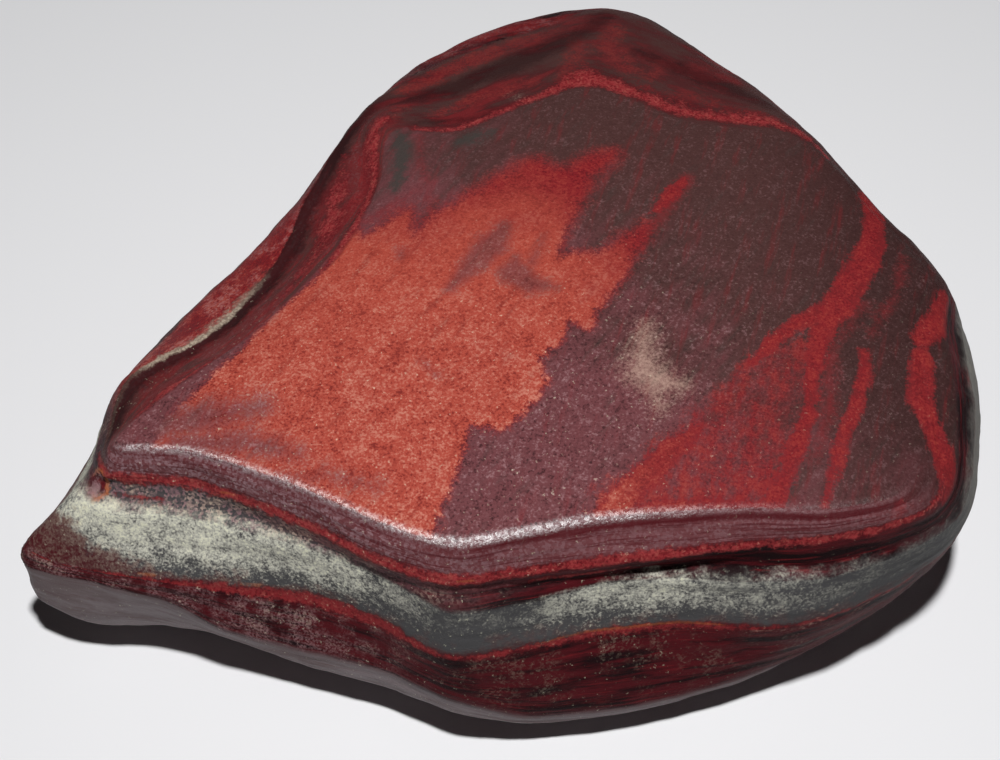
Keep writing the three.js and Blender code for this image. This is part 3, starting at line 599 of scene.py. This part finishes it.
class Finish:
    """A material under construction."""

    def __init__(self, name):
        self.material = bpy.data.materials.new(name)
        self.material.use_nodes = True
        self.tree = self.material.node_tree
        self.tree.nodes.clear()

    def node(self, kind, settings=None, sockets=None):
        """A node of a kind, with its settings, then the values or links of its sockets."""
        made = self.tree.nodes.new(kind)
        for name, value in (settings or {}).items():
            setattr(made, name, value)
        for key, value in (sockets or {}).items():
            if isinstance(value, Field):
                self.tree.links.new(value.socket, made.inputs[key])
            else:
                made.inputs[key].default_value = value
        return made

    def math(self, operation, first, second):
        """The result of a Math node."""
        made = self.node("ShaderNodeMath", {"operation": operation}, {0: first, 1: second})
        return Field(self, made.outputs[0])

    def attribute(self, name):
        """A value that the mesh holds at its vertices."""
        return Field(self, self.node("ShaderNodeAttribute", {"attribute_name": name}).outputs["Fac"])

    def mix(self, factor, under, over):
        """One colour over another, each a field or three numbers."""
        under, over = (part if isinstance(part, Field) else (*part, 1) for part in (under, over))
        made = self.node(
            "ShaderNodeMix", {"data_type": "RGBA", "clamp_factor": True}, {0: factor, 6: under, 7: over},
        )
        return Field(self, made.outputs[2])

    def surface(self, shade, gloss, height, relief, specular, index):
        """A shader with fine relief of a given depth."""
        bump = self.node("ShaderNodeBump", None, {"Strength": 1.0, "Distance": relief, "Height": height})
        made = self.node(
            "ShaderNodeBsdfPrincipled", None,
            {
                "Base Color": shade, "Roughness": gloss, "Normal": Field(self, bump.outputs[0]),
                "Specular IOR Level": specular, "IOR": index,
            },
        )
        return Field(self, made.outputs[0])

    def split(self, value, kind):
        """The three parts of a vector or colour."""
        return [Field(self, part) for part in self.node(kind, None, {0: value}).outputs]

    def vector(self, x, y, z):
        """A place from its three parts."""
        return Field(self, self.node("ShaderNodeCombineXYZ", None, {0: x, 1: y, 2: z}).outputs[0])

    def clouds(self, place, scale, detail, roughness):
        """Noise from about 0.2 to 0.8."""
        made = self.node(
            "ShaderNodeTexNoise", {"noise_dimensions": "3D"},
            {"Vector": place, "Scale": scale, "Detail": detail, "Roughness": roughness},
        )
        return Field(self, made.outputs[0])

    def grains(self, place, scale):
        """Three values, each the same all over a cell, with scale cells to the millimetre."""
        made = self.node("ShaderNodeTexVoronoi", {"feature": "F1"}, {"Vector": place, "Scale": scale})
        return self.split(Field(self, made.outputs["Color"]), "ShaderNodeSeparateColor")


class Rock:
    """Places in mm, sides, beds and grain of the rock, which its colours are drawn with."""

    def __init__(self, finish):
        spot = Field(finish, finish.node("ShaderNodeTexCoord").outputs["Object"])
        scaled = finish.node("ShaderNodeVectorMath", {"operation": "SCALE"}, {0: spot, "Scale": 1 / MM})
        self.mm = Field(finish, scaled.outputs[0])
        self.x, self.y, z = finish.split(self.mm, "ShaderNodeSeparateXYZ")
        self.bed = finish.attribute("bed")
        self.flank = finish.attribute("flank")
        self.back = finish.attribute("back")
        self.right = finish.attribute("right")

        def streaks(run, along_scale, across_scale):
            along = self.x * run[0] + self.y * run[1]
            across = self.x * run[1] - self.y * run[0]
            place = finish.vector(along * along_scale, across * across_scale, z * 0.5)
            return finish.clouds(place, 1.0, 5.0, 0.64)

        def layers(plan_scale, depth, detail, roughness):
            place = finish.vector(self.x * plan_scale, self.y * plan_scale, depth)
            return finish.clouds(place, 1.0, detail, roughness)

        # The grain is drawn out along the beds where they cross the top.
        self.streaky = streaks((0.55, 0.84), 0.16, 0.80)
        self.streaky_right = streaks((0.26, 0.97), 0.13, 0.9)
        self.fine = finish.clouds(self.mm, 3.8, 3.0, 0.66)
        self.coarse = finish.clouds(self.mm, 1.0, 3.0, 0.6)
        self.blotch = finish.clouds(self.mm, 0.36, 4.0, 0.62)
        self.mottle = finish.clouds(self.mm, 0.14, 4.0, 0.6)
        self.grain_a, self.grain_b, self.grain_c = finish.grains(self.mm, 3.6)
        self.layers = layers(0.10, self.bed * 0.9, 5.0, 0.66)
        self.fine_layers = layers(0.14, self.bed * 4.0, 4.0, 0.64)
        self.back_layers = layers(0.09, finish.attribute("reach") * 0.26, 5.0, 0.62)

        # Edges are crisp and grains strong at the front, and soft toward the back; the pale grains there
        # are partly painted sheen and glints.
        self.front = (1 - self.y.rise(-26.0, 12.0)) * (1 - self.x.rise(0.0, 34.0) * 0.75)
        self.crisp = 0.5 + self.front * 0.9
        self.strength = 0.30 + self.front * 0.70

        # Ragged edges
        blotch, coarse, fine = self.blotch - 0.5, self.coarse - 0.5, self.fine - 0.5
        self.fray = coarse * 1.2 + fine * 1.2 + (self.grain_a - 0.5) * 0.25
        self.ragged = (self.streaky - 0.5) * 2.0 + blotch * 3.0 + self.fray * 1.9
        self.ragged_right = (self.streaky_right - 0.5) * 2.6 + blotch * 2.4 + self.fray * 1.4
        self.ragged_bed = self.bed + coarse * 0.40 + (self.layers - 0.5) * 0.25 + fine * 0.25

        # What several of the beds share
        self.tone = (self.grain_b - 0.5) * 0.42 + fine * 1.3 + coarse * 0.7 + blotch * 0.5
        self.pale_specks = (self.grain_b * 0.45 + self.fine * 0.55).rise(0.34, 0.74)
        self.cloud = (finish.attribute("cloud") + self.ragged * 0.6).rise(-0.9, 1.1) * 0.75
        self.blush = (finish.attribute("blush") + self.ragged * 0.8).rise(-0.9, 1.2)
        self.underside = (self.ragged_bed + (self.layers - 0.5) * 3).rise(21.0, 22.8)


def red_jasper(finish, colours, rock):
    """Red jasper, bright and grainy on the top, and the deep smooth red of the bands."""
    tone = (rock.grain_a - 0.5) * 0.34 + (rock.fine - 0.5) * 1.9
    tone = tone + (rock.coarse - 0.5) * 0.7 + (rock.blotch - 0.5) * 1.2
    # Deeper red toward the right and the back, paler toward the front left: partly the jasper's own colour,
    # partly painted sheen and fall-off of the light.
    deep = rock.x.rise(0.0, 22.0) * 0.95 + rock.y.rise(-10.0, 12.0) * 0.85
    deep = (deep + (rock.mottle - 0.5) * 0.9 + (rock.blotch - 0.5) * 0.6).rise(0.0, 1.0)
    red = finish.mix(tone.rise(-0.04, 0.50) * rock.strength, colours.jasper, colours.jasper_pale)
    red = finish.mix((0 - tone).rise(0.06, 0.46) * rock.strength * 0.85, red, colours.jasper_deep)
    red = finish.mix(rock.streaky.rise(0.52, 0.74) * 0.45, red, colours.jasper_deep)
    band = finish.mix(tone.rise(-0.1, 0.5) * 0.35, colours.crimson, colours.jasper)
    band = finish.mix((0 - tone).rise(0.0, 0.4) * 0.6, band, colours.maroon)
    return finish.mix(deep, red, band), band


def purple_hematite(finish, colours, rock):
    """Purple hematite, with pale grains at the front, partly painted sheen, and brown and darker toward the
    back and the right, partly painted fall-off of the light.
    """
    # Browner toward the back and the right: partly brown hematite, partly painted fall-off of the light.
    tint_and_falloff = rock.x * 0.022 + rock.y * 0.020 + (rock.mottle - 0.5) * 1.0 + (rock.streaky - 0.5) * 1.2
    plain = finish.mix(tint_and_falloff.rise(-0.45, 0.45), colours.hematite, colours.hematite_brown)
    plain = finish.mix(rock.tone.rise(0.04, 0.56) * rock.strength * 0.8, plain, colours.hematite_pale)
    plain = finish.mix((0 - rock.tone).rise(0.04, 0.44) * rock.strength * 0.7, plain, colours.dark)
    # Darker toward the right edge: partly dark hematite, partly painted fall-off of the light.
    plain = finish.mix(rock.x.rise(24.0, 44.0) * 0.42, plain, colours.dark)
    plain = finish.mix(rock.streaky_right.rise(0.52, 0.72) * 0.3, plain, colours.crimson)
    plain = finish.mix(rock.streaky.rise(0.54, 0.70) * 0.25, plain, colours.slate)
    slate = (finish.attribute("slate") + rock.ragged * 0.8).rise(-0.9, 0.9)
    return finish.mix(slate * 0.9, plain, colours.slate)


def flat_top(finish, colours, rock, red, band, plain):
    """The pattern of the flat top: blushes, wash, patch, veil, clouds and streaks."""
    patch_edge = (finish.attribute("patch") + rock.ragged * 0.65) * rock.crisp
    streak_edge = finish.attribute("streak") + rock.ragged_right * 0.55
    wash_edge = finish.attribute("wash") + rock.ragged_right * 1.5
    top = finish.mix(rock.blush * 0.5, plain, colours.crimson)
    wash_mottle = (rock.streaky_right * 0.35 + rock.blotch * 0.35 + rock.coarse * 0.3).rise(0.42, 0.58)
    top = finish.mix(wash_edge.rise(-1.2, 1.0) * (0.3 + wash_mottle * 0.5), top, band)
    wash_grain = (rock.streaky_right * 0.5 + rock.coarse * 0.5).rise(0.40, 0.58)
    # The front of the wash is redder and lighter: partly jasper, partly a painted highlight from the brow.
    wash_front_highlight = wash_edge.rise(-0.4, 1.6) * (1 - rock.y.rise(-36.0, -24.0)) * wash_grain
    top = finish.mix(wash_front_highlight * 0.75, top, red)
    top = finish.mix(patch_edge.rise(-1.1, 0.0) * 0.6, top, band)
    top = finish.mix(patch_edge.rise(-0.4, 0.5), top, red)
    veil = (finish.attribute("veil") + rock.ragged * 0.8 + rock.tone * 1.4).rise(-2.0, 2.4)
    top = finish.mix(veil * 0.85, top, plain)
    top = finish.mix(rock.cloud * 0.9, top, plain)
    top = finish.mix(streak_edge.rise(-0.55, 0.0) * 0.7, top, colours.crimson)
    streak_mottle = (rock.blotch * 0.5 + rock.coarse * 0.5).rise(0.40, 0.56)
    return finish.mix(streak_edge.rise(-0.3, 0.5) * (0.62 + streak_mottle * 0.38), top, red)


def upper_beds(finish, colours, rock, top, band):
    """The beds between the top and the red lip: at the front, on the left, at the back and on the right."""
    specks = rock.pale_specks * (0.98 - rock.x.rise(-22.0, 8.0) * 0.62)
    brow = finish.mix(specks, colours.hematite, colours.face)
    brow = finish.mix(rock.fine_layers.rise(0.50, 0.64) * 0.7, brow, colours.maroon)
    seam = rock.ragged_bed.band(1.45, 2.1, 0.2) * (0.3 + rock.x.rise(-12.0, 4.0) * 0.55)
    brow = finish.mix(seam, brow, colours.maroon)
    left = finish.mix(rock.tone.rise(-0.1, 0.5) * 0.4, colours.crimson, colours.hematite_pale)
    left = finish.mix(0.46 + rock.layers.rise(0.44, 0.56) * 0.42, left, colours.hematite_brown)
    red_lines = rock.fine_layers.rise(0.48, 0.58) * 0.6 * rock.ragged_bed.band(1.2, 2.7, 0.3)
    left = finish.mix(red_lines, left, band)
    # Dark over the groove above the lip on the left flank: partly dark hematite, partly painted shade in
    # the groove.
    left = finish.mix((rock.ragged_bed + (rock.blotch - 0.5)).rise(2.55, 3.1) * 0.78, left, colours.dark)
    rear = finish.mix(rock.back_layers.rise(0.40, 0.56) * 0.8, colours.hematite_brown, colours.maroon)
    rear_lines = (rock.back_layers + (rock.fine_layers - 0.5) * 0.4).rise(0.50, 0.66)
    rear = finish.mix(rear_lines * 0.7, rear, colours.crimson)
    rear = finish.mix(rock.blush * 0.75, rear, band)
    rear = finish.mix(0.14 + rock.x.rise(-8.0, 8.0) * 0.20, rear, colours.hematite_brown)
    rear = finish.mix(rock.cloud * 0.7, rear, colours.dark)
    upper = finish.mix(rock.flank, brow, left)
    upper = finish.mix(rock.back, upper, rear)
    upper = finish.mix(rock.right, upper, top)
    return finish.mix(rock.ragged_bed.rise(0.95, 1.2), top, upper)


def lip_beds(finish, colours, rock, shade, red, band):
    """The red lip at the left and the back, the dark beds under it, lightened in the recess by painted
    light, and the pale ridge, worn and with a painted highlight.
    """
    lip_tone = (rock.tone * 0.6 + (rock.blotch - 0.5) * 1.4).rise(-0.15, 0.35)
    lip_red = finish.mix(lip_tone * 0.7, band, red)
    lip_specks = rock.pale_specks * rock.blotch.rise(0.46, 0.62)
    lip_red = finish.mix(lip_specks * 0.45, lip_red, colours.hematite_pale)
    lip_left = rock.flank * (1 - rock.back) * finish.attribute("lip")
    lip_rear = rock.back * rock.back_layers.rise(0.42, 0.60) * 0.8
    lip_mask = rock.ragged_bed.band(3.95, 4.88, 0.14) * (lip_left + lip_rear).least(1.0)

    under_lip = finish.mix(rock.layers.rise(0.42, 0.60), colours.dark, colours.maroon)
    under_lip = finish.mix(rock.fine_layers.rise(0.56, 0.70) * 0.6, under_lip, colours.crimson)
    weather = (1 - rock.right) * (1 - rock.x.rise(-28.0, 4.0)) * (1 - rock.flank * 0.7)
    dusty = finish.mix(rock.pale_specks, colours.grey_dark, colours.face)
    under_lip = finish.mix(weather * 0.8, under_lip, dusty)
    pale_dust = weather * rock.pale_specks * rock.blotch.rise(0.44, 0.62)
    under_lip = finish.mix(pale_dust * 0.8, under_lip, colours.ridge)
    # Lighter hematite painted over the recess under the lip, as painted light lifting the shade of the
    # overhang.
    painted_recess_light = rock.ragged_bed.band(4.95, 6.4, 0.25) * (1 - rock.flank) * (1 - rock.right)
    painted_recess_light = painted_recess_light * rock.x.rise(-30.0, -18.0) * (1 - rock.x.rise(2.0, 16.0))
    under_lip = finish.mix(painted_recess_light * (0.40 + rock.pale_specks * 0.3), under_lip, colours.hematite)

    right_hem = 1 - rock.right * (1 - rock.ragged_bed.rise(5.0, 5.4))
    shade = finish.mix(rock.ragged_bed.rise(3.95, 4.1) * right_hem, shade, under_lip)
    shade = finish.mix(lip_mask, shade, lip_red)
    # Pale ridge on the left flank: partly worn pale grains, partly a painted highlight along its edge.
    ridge_wear_and_highlight = (rock.ragged_bed + (rock.blotch - 0.5) * 0.8).band(3.60, 4.0, 0.12)
    ridge_wear_and_highlight = ridge_wear_and_highlight * finish.attribute("ridge") * (0.5 + rock.pale_specks * 0.5)
    return finish.mix(ridge_wear_and_highlight, shade, colours.ridge)


def grey_bed(finish, colours, rock, shade):
    """The grey speckled bed, lighter at the front left and dark at the nose, partly painted light and
    shade, and dull and smooth on the right.
    """
    # Darker at the nose and lighter at the front left: partly the grey's own tone, partly painted shade in
    # the fold at the nose and painted light on the face turned up to the left.
    nose = rock.x.rise(-16.0, -6.0) * (1 - rock.x.rise(-2.0, 8.0))
    tone = rock.grain_c * 0.20 + rock.fine * 0.95 + rock.coarse * 0.50 - 0.07
    tone = tone + (rock.blotch - 0.5) * 0.75 - rock.bed.rise(9.2, 12.6) * 0.28 - nose * 0.16
    tone = tone - rock.x.rise(6.0, 34.0) * 0.10 + (1 - rock.x.rise(-30.0, -12.0)) * 0.08
    grey = finish.mix(tone.rise(0.47, 0.93), colours.grey_dark, colours.grey)
    # Whitish grains: partly real grains, partly painted glints.
    grey = finish.mix(tone.rise(0.80, 1.12) * 0.6, grey, colours.sparkle)
    grey = finish.mix(nose * 0.72, grey, colours.grey_dark)
    worn_lines = (1 - rock.layers.rise(0.32, 0.52)) * rock.x.rise(-4.0, 20.0)
    rim = finish.mix(rock.y.rise(-35.0, -27.0), colours.grey_dark, colours.rim)
    grey = finish.mix(rock.x.rise(8.0, 46.0) * 0.85 + worn_lines * 0.5, grey, rim)
    start = rock.ragged_bed + (rock.layers - 0.5) * 0.8 + (rock.blotch - 0.5) * 0.8
    start = start - rock.x.band(-12.0, 8.0, 5.0) * 0.9
    shade = finish.mix(start.rise(6.9, 7.6), shade, grey)
    stain = rock.ragged_bed + (rock.blotch - 0.5) * 7.0 + (rock.coarse - 0.5) * 3.0
    stain = (stain + (1 - rock.x.rise(-50.0, -36.0)) * 4.0).rise(11.4, 13.2)
    stain = stain * (1 - rock.x.rise(-30.0, -8.0) * 0.55) * (0.95 - rock.x.rise(-50.0, -40.0) * 0.15)
    return finish.mix(stain, shade, finish.mix(rock.pale_specks * 0.2, colours.maroon, colours.ridge))


def belly_and_underside(finish, colours, rock, shade):
    """The dark red belly, worn pale in places, and the grey underside."""
    belly = finish.mix(rock.layers.rise(0.36, 0.56), colours.dark, colours.maroon)
    belly = finish.mix(rock.fine_layers.rise(0.56, 0.70) * 0.4, belly, colours.crimson)
    worn = (rock.blotch * 0.6 + rock.mottle * 0.4).rise(0.47, 0.60) * (1 - rock.bed.rise(17.0, 22.0))
    worn = worn * (rock.grain_c * 0.3 + rock.fine * 0.7).rise(0.46, 0.66)
    front_and_left = (1 - rock.y.rise(-36.0, -22.0)) * 0.07 + (1 - rock.x.rise(-26.0, -8.0)) * 0.26
    belly = finish.mix(worn * (0.09 + front_and_left), belly, colours.ridge)
    dusty = (1 - rock.x.rise(-24.0, -4.0)) * rock.blotch.rise(0.38, 0.58) * rock.fine.rise(0.38, 0.62)
    belly = finish.mix(dusty * 0.5, belly, colours.hematite_pale)
    shade = finish.mix((rock.ragged_bed + (rock.layers - 0.5) * 2.0).rise(12.6, 13.4), shade, belly)
    under = finish.mix(rock.layers.rise(0.40, 0.62) * 0.6, colours.under, colours.hematite_brown)
    under = finish.mix(rock.fine_layers.rise(0.5, 0.7) * 0.4, under, colours.maroon)
    return finish.mix(rock.underside, shade, under)


def veins_and_marks(finish, colours, rock, shade):
    """Red veins and orange stains of the sides, the scratch, the flake, the scuff and the whitish specks,
    partly painted glints.
    """
    vein_edge = finish.attribute("vein") + (rock.coarse - 0.5) * (1.4 - rock.flank * 0.9)
    vein_edge = vein_edge + (rock.fine - 0.5) * 0.6 + (rock.blotch - 0.5) * 0.6
    shade = finish.mix(vein_edge.rise(-0.30, 0.0) * 0.6, shade, colours.maroon)
    vein_tone = rock.tone.rise(-0.3, 0.4) * (0.75 - rock.bed.rise(5.0, 8.0) * 0.35)
    vein_red = finish.mix(vein_tone, colours.crimson, colours.rose)
    vein_red = finish.mix((0 - rock.tone).rise(0.05, 0.5) * 0.7, vein_red, colours.maroon)
    bright_grain = (rock.grain_c * 0.5 + rock.fine * 0.5).rise(0.60, 0.72)
    vein_red = finish.mix(bright_grain * 0.15, vein_red, colours.jasper_pale)
    shade = finish.mix(vein_edge.rise(-0.20, 0.30) * 0.9, shade, vein_red)
    amber = (finish.attribute("amber") + rock.fray * 0.16).rise(-0.10, 0.14)
    shade = finish.mix(amber * 0.35, shade, colours.amber)
    scratch = finish.attribute("scratch") + (rock.coarse - 0.5) * 0.5 + (rock.fine - 0.5) * 0.3
    shade = finish.mix(scratch.rise(-0.16, 0.10) * 0.55, shade, colours.scuff)
    flake = finish.attribute("flake") + rock.fray * 0.5
    flake_colour = finish.mix(rock.coarse.rise(0.4, 0.6), colours.hematite_pale, colours.maroon)
    shade = finish.mix(flake.rise(-0.3, 0.3) * 0.75, shade, flake_colour)
    flake_edge = flake.band(-0.1, 0.3, 0.16) * rock.x.rise(-43.4, -42.2)
    shade = finish.mix(flake_edge * 0.6, shade, colours.amber)
    scuff = (finish.attribute("scuff") + rock.ragged * 0.8 + (rock.fine - 0.5) * 4).rise(-1.8, 3.0)
    shade = finish.mix(scuff * 0.8, shade, colours.scuff)
    # Whitish specks at the front: partly grains, partly painted glints.
    glint_specks = rock.grain_c.rise(0.93, 0.97) * rock.fine.rise(0.54, 0.66) * rock.front
    return finish.mix(glint_specks * 0.35, shade, colours.sparkle)


def polish(finish, rock, shade):
    """Dull all over, while the worn edge over the front shines, grain by grain."""
    edge = rock.bed.band(0.82, 1.55, 0.28) * (1 - rock.flank) * (1 - rock.back) * (1 - rock.right)
    edge = edge * (1 - rock.x.rise(-4.0, 28.0) * 0.9)
    grain = 0.28 + (rock.grain_a * 0.4 + rock.fine * 0.6).rise(0.36, 0.58) * 0.9
    height = rock.fine * 0.6 + rock.coarse * 0.5 + rock.grain_a * 0.08
    height = height + finish.clouds(rock.mm, 7.0, 2.0, 0.6) * 0.3
    gloss = 0.56 + (rock.fine - 0.5) * 0.4
    dull = finish.surface(shade, gloss, height, relief=0.12 * MM, specular=0.05, index=1.5)
    gloss = 0.44 + (rock.fine - 0.5) * 0.3
    glossy = finish.surface(shade, gloss, height, relief=0.14 * MM, specular=0.5, index=3.2)
    shine = edge * grain + rock.underside * 0.12
    both = finish.node("ShaderNodeMixShader", None, {0: shine, 1: dull, 2: glossy})
    finish.node("ShaderNodeOutputMaterial", None, {0: Field(finish, both.outputs[0])})


def hematite_finish(colours):
    """Banded hematite and jasper: streaks and patches on the top, and beds all round the sides."""
    finish = Finish("hematite_jasper")
    rock = Rock(finish)
    red, band = red_jasper(finish, colours, rock)
    plain = purple_hematite(finish, colours, rock)
    top = flat_top(finish, colours, rock, red, band, plain)
    shade = upper_beds(finish, colours, rock, top, band)
    shade = lip_beds(finish, colours, rock, shade, red, band)
    shade = grey_bed(finish, colours, rock, shade)
    shade = belly_and_underside(finish, colours, rock, shade)
    shade = veins_and_marks(finish, colours, rock, shade)
    polish(finish, rock, shade)
    return finish.material


def smooth_stone(sizes, stations):
    """Rows of points of the unworn stone in mm, the bed at each, and how far down the side it lies."""
    rings = np.array([round_ring(ring, stations) for ring, _, _ in RINGS])
    brow = rings[0]
    top_height = sizes.top_height / MM
    centre = np.array(TOP_CENTRE)

    def top_points(share):
        plan = centre + (brow[:, :2] - centre) * share
        rise = top_height + (brow[:, 2] - top_height) * share**TOP_POWER
        return np.column_stack([plan, rise])

    inner = np.array([top_points(INNER_SHARE * i / sizes.top_rows) for i in range(1, sizes.top_rows)])
    knots = np.concatenate([top_points(INNER_SHARE)[None], rings])
    places, beds = [0.0], [0.0]
    for i, (_, depth, rows) in enumerate(RINGS):
        before = RINGS[i - 1][1] if i else 0.0
        for k in range(1, rows + 1):
            places.append(i + k / rows)
            beds.append(before + (depth - before) * k / rows)
    side = down_slice(knots, np.array(places))
    beds = np.concatenate([np.linspace(-1, 0, len(inner), endpoint=False), beds])
    bed = np.repeat(beds[:, None], len(stations), axis=1)
    step = np.linalg.norm(np.diff(side, axis=0), axis=2)
    reach = np.concatenate([np.zeros((len(inner) + 1, len(stations))), np.cumsum(step, axis=0)])
    return np.concatenate([inner, side]), bed, reach


def worn_stone(surface, bed, stations, sizes):
    """The points with the unevenness, the grooves along the beds, the lumps of the lip and the scars."""
    down = np.gradient(surface, axis=0)
    turn = np.roll(surface, -1, axis=1) - np.roll(surface, 1, axis=1)
    normal = np.cross(down, turn)
    normal /= np.linalg.norm(normal, axis=2, keepdims=True) + 1e-12
    flat = surface.reshape(-1, 3)
    fade = np.clip((bed - WEAR_START) / (WEAR_FULL - WEAR_START), TOP_WEAR, 1)
    fade *= np.clip((FOOT_BED - bed) / FOOT_FADE, 0, 1)
    swell = rough(flat * SWELL_SCALE, 3).reshape(bed.shape)
    layered = np.column_stack([flat[:, :2] * GROOVE_SCALE, bed.reshape(-1) * GROOVE_BED_SCALE])
    grooves = rough(layered, 4).reshape(bed.shape) * np.clip(bed - 1, 0, 1)
    lumps = rough(flat * LUMP_SCALE, 2).reshape(bed.shape) * by_station(stations, LUMP_STATIONS)
    lumps *= np.exp(-(((bed - LUMP_BED) / LUMP_REACH) ** 2))
    offset = (swell * sizes.relief + grooves * sizes.lamination) * fade + lumps * sizes.lumps
    offset /= MM
    for place, radius, depth in SCARS:
        gap = np.linalg.norm(surface - np.array(place), axis=2)
        offset -= depth * np.exp(-((gap / radius) ** 2))
    return surface + normal * offset[..., None]


def stone_mesh(surface, top_height):
    """A closed mesh through rows of points, with a fan of faces at each end, inside the solid's box."""
    rows, around = surface.shape[:2]
    ends = np.array([[*TOP_CENTRE, top_height / MM], [*FOOT_CENTRE, 0.0]])
    low, high = (np.array(corner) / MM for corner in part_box(STONE))
    vertices = np.vstack([surface.reshape(-1, 3), ends]) + np.array([*CENTRE_SHIFT, 0.0])
    vertices = np.clip(vertices, low, high)
    index = np.arange(rows * around).reshape(rows, around)
    after = np.roll(index, -1, axis=1)
    quads = np.stack([index[:-1], index[1:], after[1:], after[:-1]], axis=-1).reshape(-1, 4)
    top_end, foot_end = rows * around, rows * around + 1
    fan = [(top_end, int(a), int(b)) for a, b in zip(index[0], after[0])]
    fan += [(foot_end, int(b), int(a)) for a, b in zip(index[-1], after[-1])]
    mesh = bpy.data.meshes.new("hematite_stone")
    mesh.from_pydata((vertices * MM).tolist(), [], quads.tolist() + fan)
    mesh.shade_smooth()
    return mesh


def mark_mesh(mesh, surface, bed, reach, stations):
    """Writes at each vertex its bed, its distances to the markings and its weights of the sides."""
    points = surface.reshape(-1, 3)
    plan = points[:, :2]
    beds = bed.reshape(-1)
    places = np.tile(stations, len(surface))
    values = {
        "bed": beds,
        "reach": reach.reshape(-1),
        "flake": FLAKE_REACH - np.linalg.norm(points - np.array(FLAKE_PLACE), axis=1),
    }
    values |= {name: outline_distance(plan, outline) for name, outline in PLAN_OUTLINES.items()}
    values |= {name: strokes_distance(plan, strokes) for name, strokes in PLAN_STROKES.items()}
    values |= {name: unrolled_distance(places, beds, strokes) for name, strokes in SIDE_STROKES.items()}
    values |= {name: by_station(places, table) for name, table in STATION_WEIGHTS.items()}
    for name, value in values.items():
        # The two end points take the values of the vertex nearest to them.
        full = np.concatenate([value, value[:1], value[-1:]])
        mesh.attributes.new(name, "FLOAT", "POINT").data.foreach_set("value", full.astype(np.float32))


class MakeStone(bpy.types.Operator):
    """Build the stone and its finish"""

    bl_idname = "stone.make_specimen"
    bl_label = "Make the stone"

    def execute(self, context):
        sizes = context.scene.stone_sizes
        stations = even_stations(LIP, sizes.around)
        surface, bed, reach = smooth_stone(sizes, stations)
        surface = worn_stone(surface, bed, stations, sizes)
        mesh = stone_mesh(surface, sizes.top_height)
        mark_mesh(mesh, surface, bed, reach, stations)
        mesh.materials.append(hematite_finish(context.scene.stone_colours))
        stone = bpy.data.objects.new("hematite_specimen", mesh)
        context.scene.collection.objects.link(stone)
        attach(stone, "root")
        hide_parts(STONE)
        return {"FINISHED"}


def add_lamp(scene, name, place, side, energy):
    """A square soft lamp that faces the stone."""
    data = bpy.data.lights.new(name, "AREA")
    data.size = side
    data.energy = energy
    lamp = bpy.data.objects.new(name, data)
    lamp.location = place
    lamp.rotation_euler = (Vector(LAMP_TARGET) - lamp.location).to_track_quat("-Z", "Y").to_euler()
    scene.collection.objects.link(lamp)


class MakeStage(bpy.types.Operator):
    """Build the pale floor, the studio lights and the camera"""

    bl_idname = "stone.make_stage"
    bl_label = "Make the stage"

    def execute(self, context):
        scene = context.scene
        stage = scene.stage_sizes
        half = stage.floor_side / 2
        corners = [(-half, -half, 0), (half, -half, 0), (half, half, 0), (-half, half, 0)]
        mesh = bpy.data.meshes.new("floor")
        mesh.from_pydata(corners, [], [(0, 1, 2, 3)])
        floor = bpy.data.objects.new("floor", mesh)
        scene.collection.objects.link(floor)
        finish = Finish("floor_white")
        shader = finish.node(
            "ShaderNodeBsdfPrincipled", None,
            {"Base Color": (*stage.floor_colour, 1), "Roughness": FLOOR_ROUGHNESS},
        )
        finish.node("ShaderNodeOutputMaterial", None, {0: Field(finish, shader.outputs[0])})
        mesh.materials.append(finish.material)

        data = bpy.data.cameras.new("camera")
        data.sensor_width = SENSOR_WIDTH
        data.lens = stage.lens
        data.clip_start = NEAR_LIMIT
        camera = bpy.data.objects.new("camera", data)
        camera.location = CAMERA_PLACE
        camera.rotation_euler = (CAMERA_TILT, 0, 0)
        scene.collection.objects.link(camera)
        scene.camera = camera

        for name, place, side, energy in LAMPS:
            add_lamp(scene, name, place, side, getattr(stage, energy))
        world = bpy.data.worlds.new("studio")
        world.use_nodes = True
        sky = world.node_tree.nodes["Background"]
        sky.inputs["Color"].default_value = (1, 1, 1, 1)
        sky.inputs["Strength"].default_value = stage.sky
        scene.world = world
        scene.view_settings.view_transform = "Standard"
        return {"FINISHED"}


class StonePanel(bpy.types.Panel):
    """Lists what the stone is made with"""

    bl_idname = "VIEW3D_PT_hematite_specimen"
    bl_label = "Hematite specimen"
    bl_space_type = "VIEW_3D"
    bl_region_type = "UI"
    bl_category = "Stone"

    def draw(self, context):
        layout = self.layout
        scene = context.scene
        for group in (scene.stone_sizes, scene.stone_colours, scene.stage_sizes):
            box = layout.box()
            for name in group.__annotations__:
                box.prop(group, name)
        layout.operator(MakeStone.bl_idname)
        layout.operator(MakeStage.bl_idname)


CLASSES = (StoneSizes, StoneColours, StageSizes, MakeStone, MakeStage, StonePanel)


def register():
    for cls in CLASSES:
        bpy.utils.register_class(cls)
    bpy.types.Scene.stone_sizes = bpy.props.PointerProperty(type=StoneSizes)
    bpy.types.Scene.stone_colours = bpy.props.PointerProperty(type=StoneColours)
    bpy.types.Scene.stage_sizes = bpy.props.PointerProperty(type=StageSizes)


def unregister():
    del bpy.types.Scene.stone_sizes
    del bpy.types.Scene.stone_colours
    del bpy.types.Scene.stage_sizes
    for cls in reversed(CLASSES):
        bpy.utils.unregister_class(cls)


def main():
    register()
    bpy.ops.stone.make_specimen()
    bpy.ops.stone.make_stage()


if __name__ == "__main__":
    main()
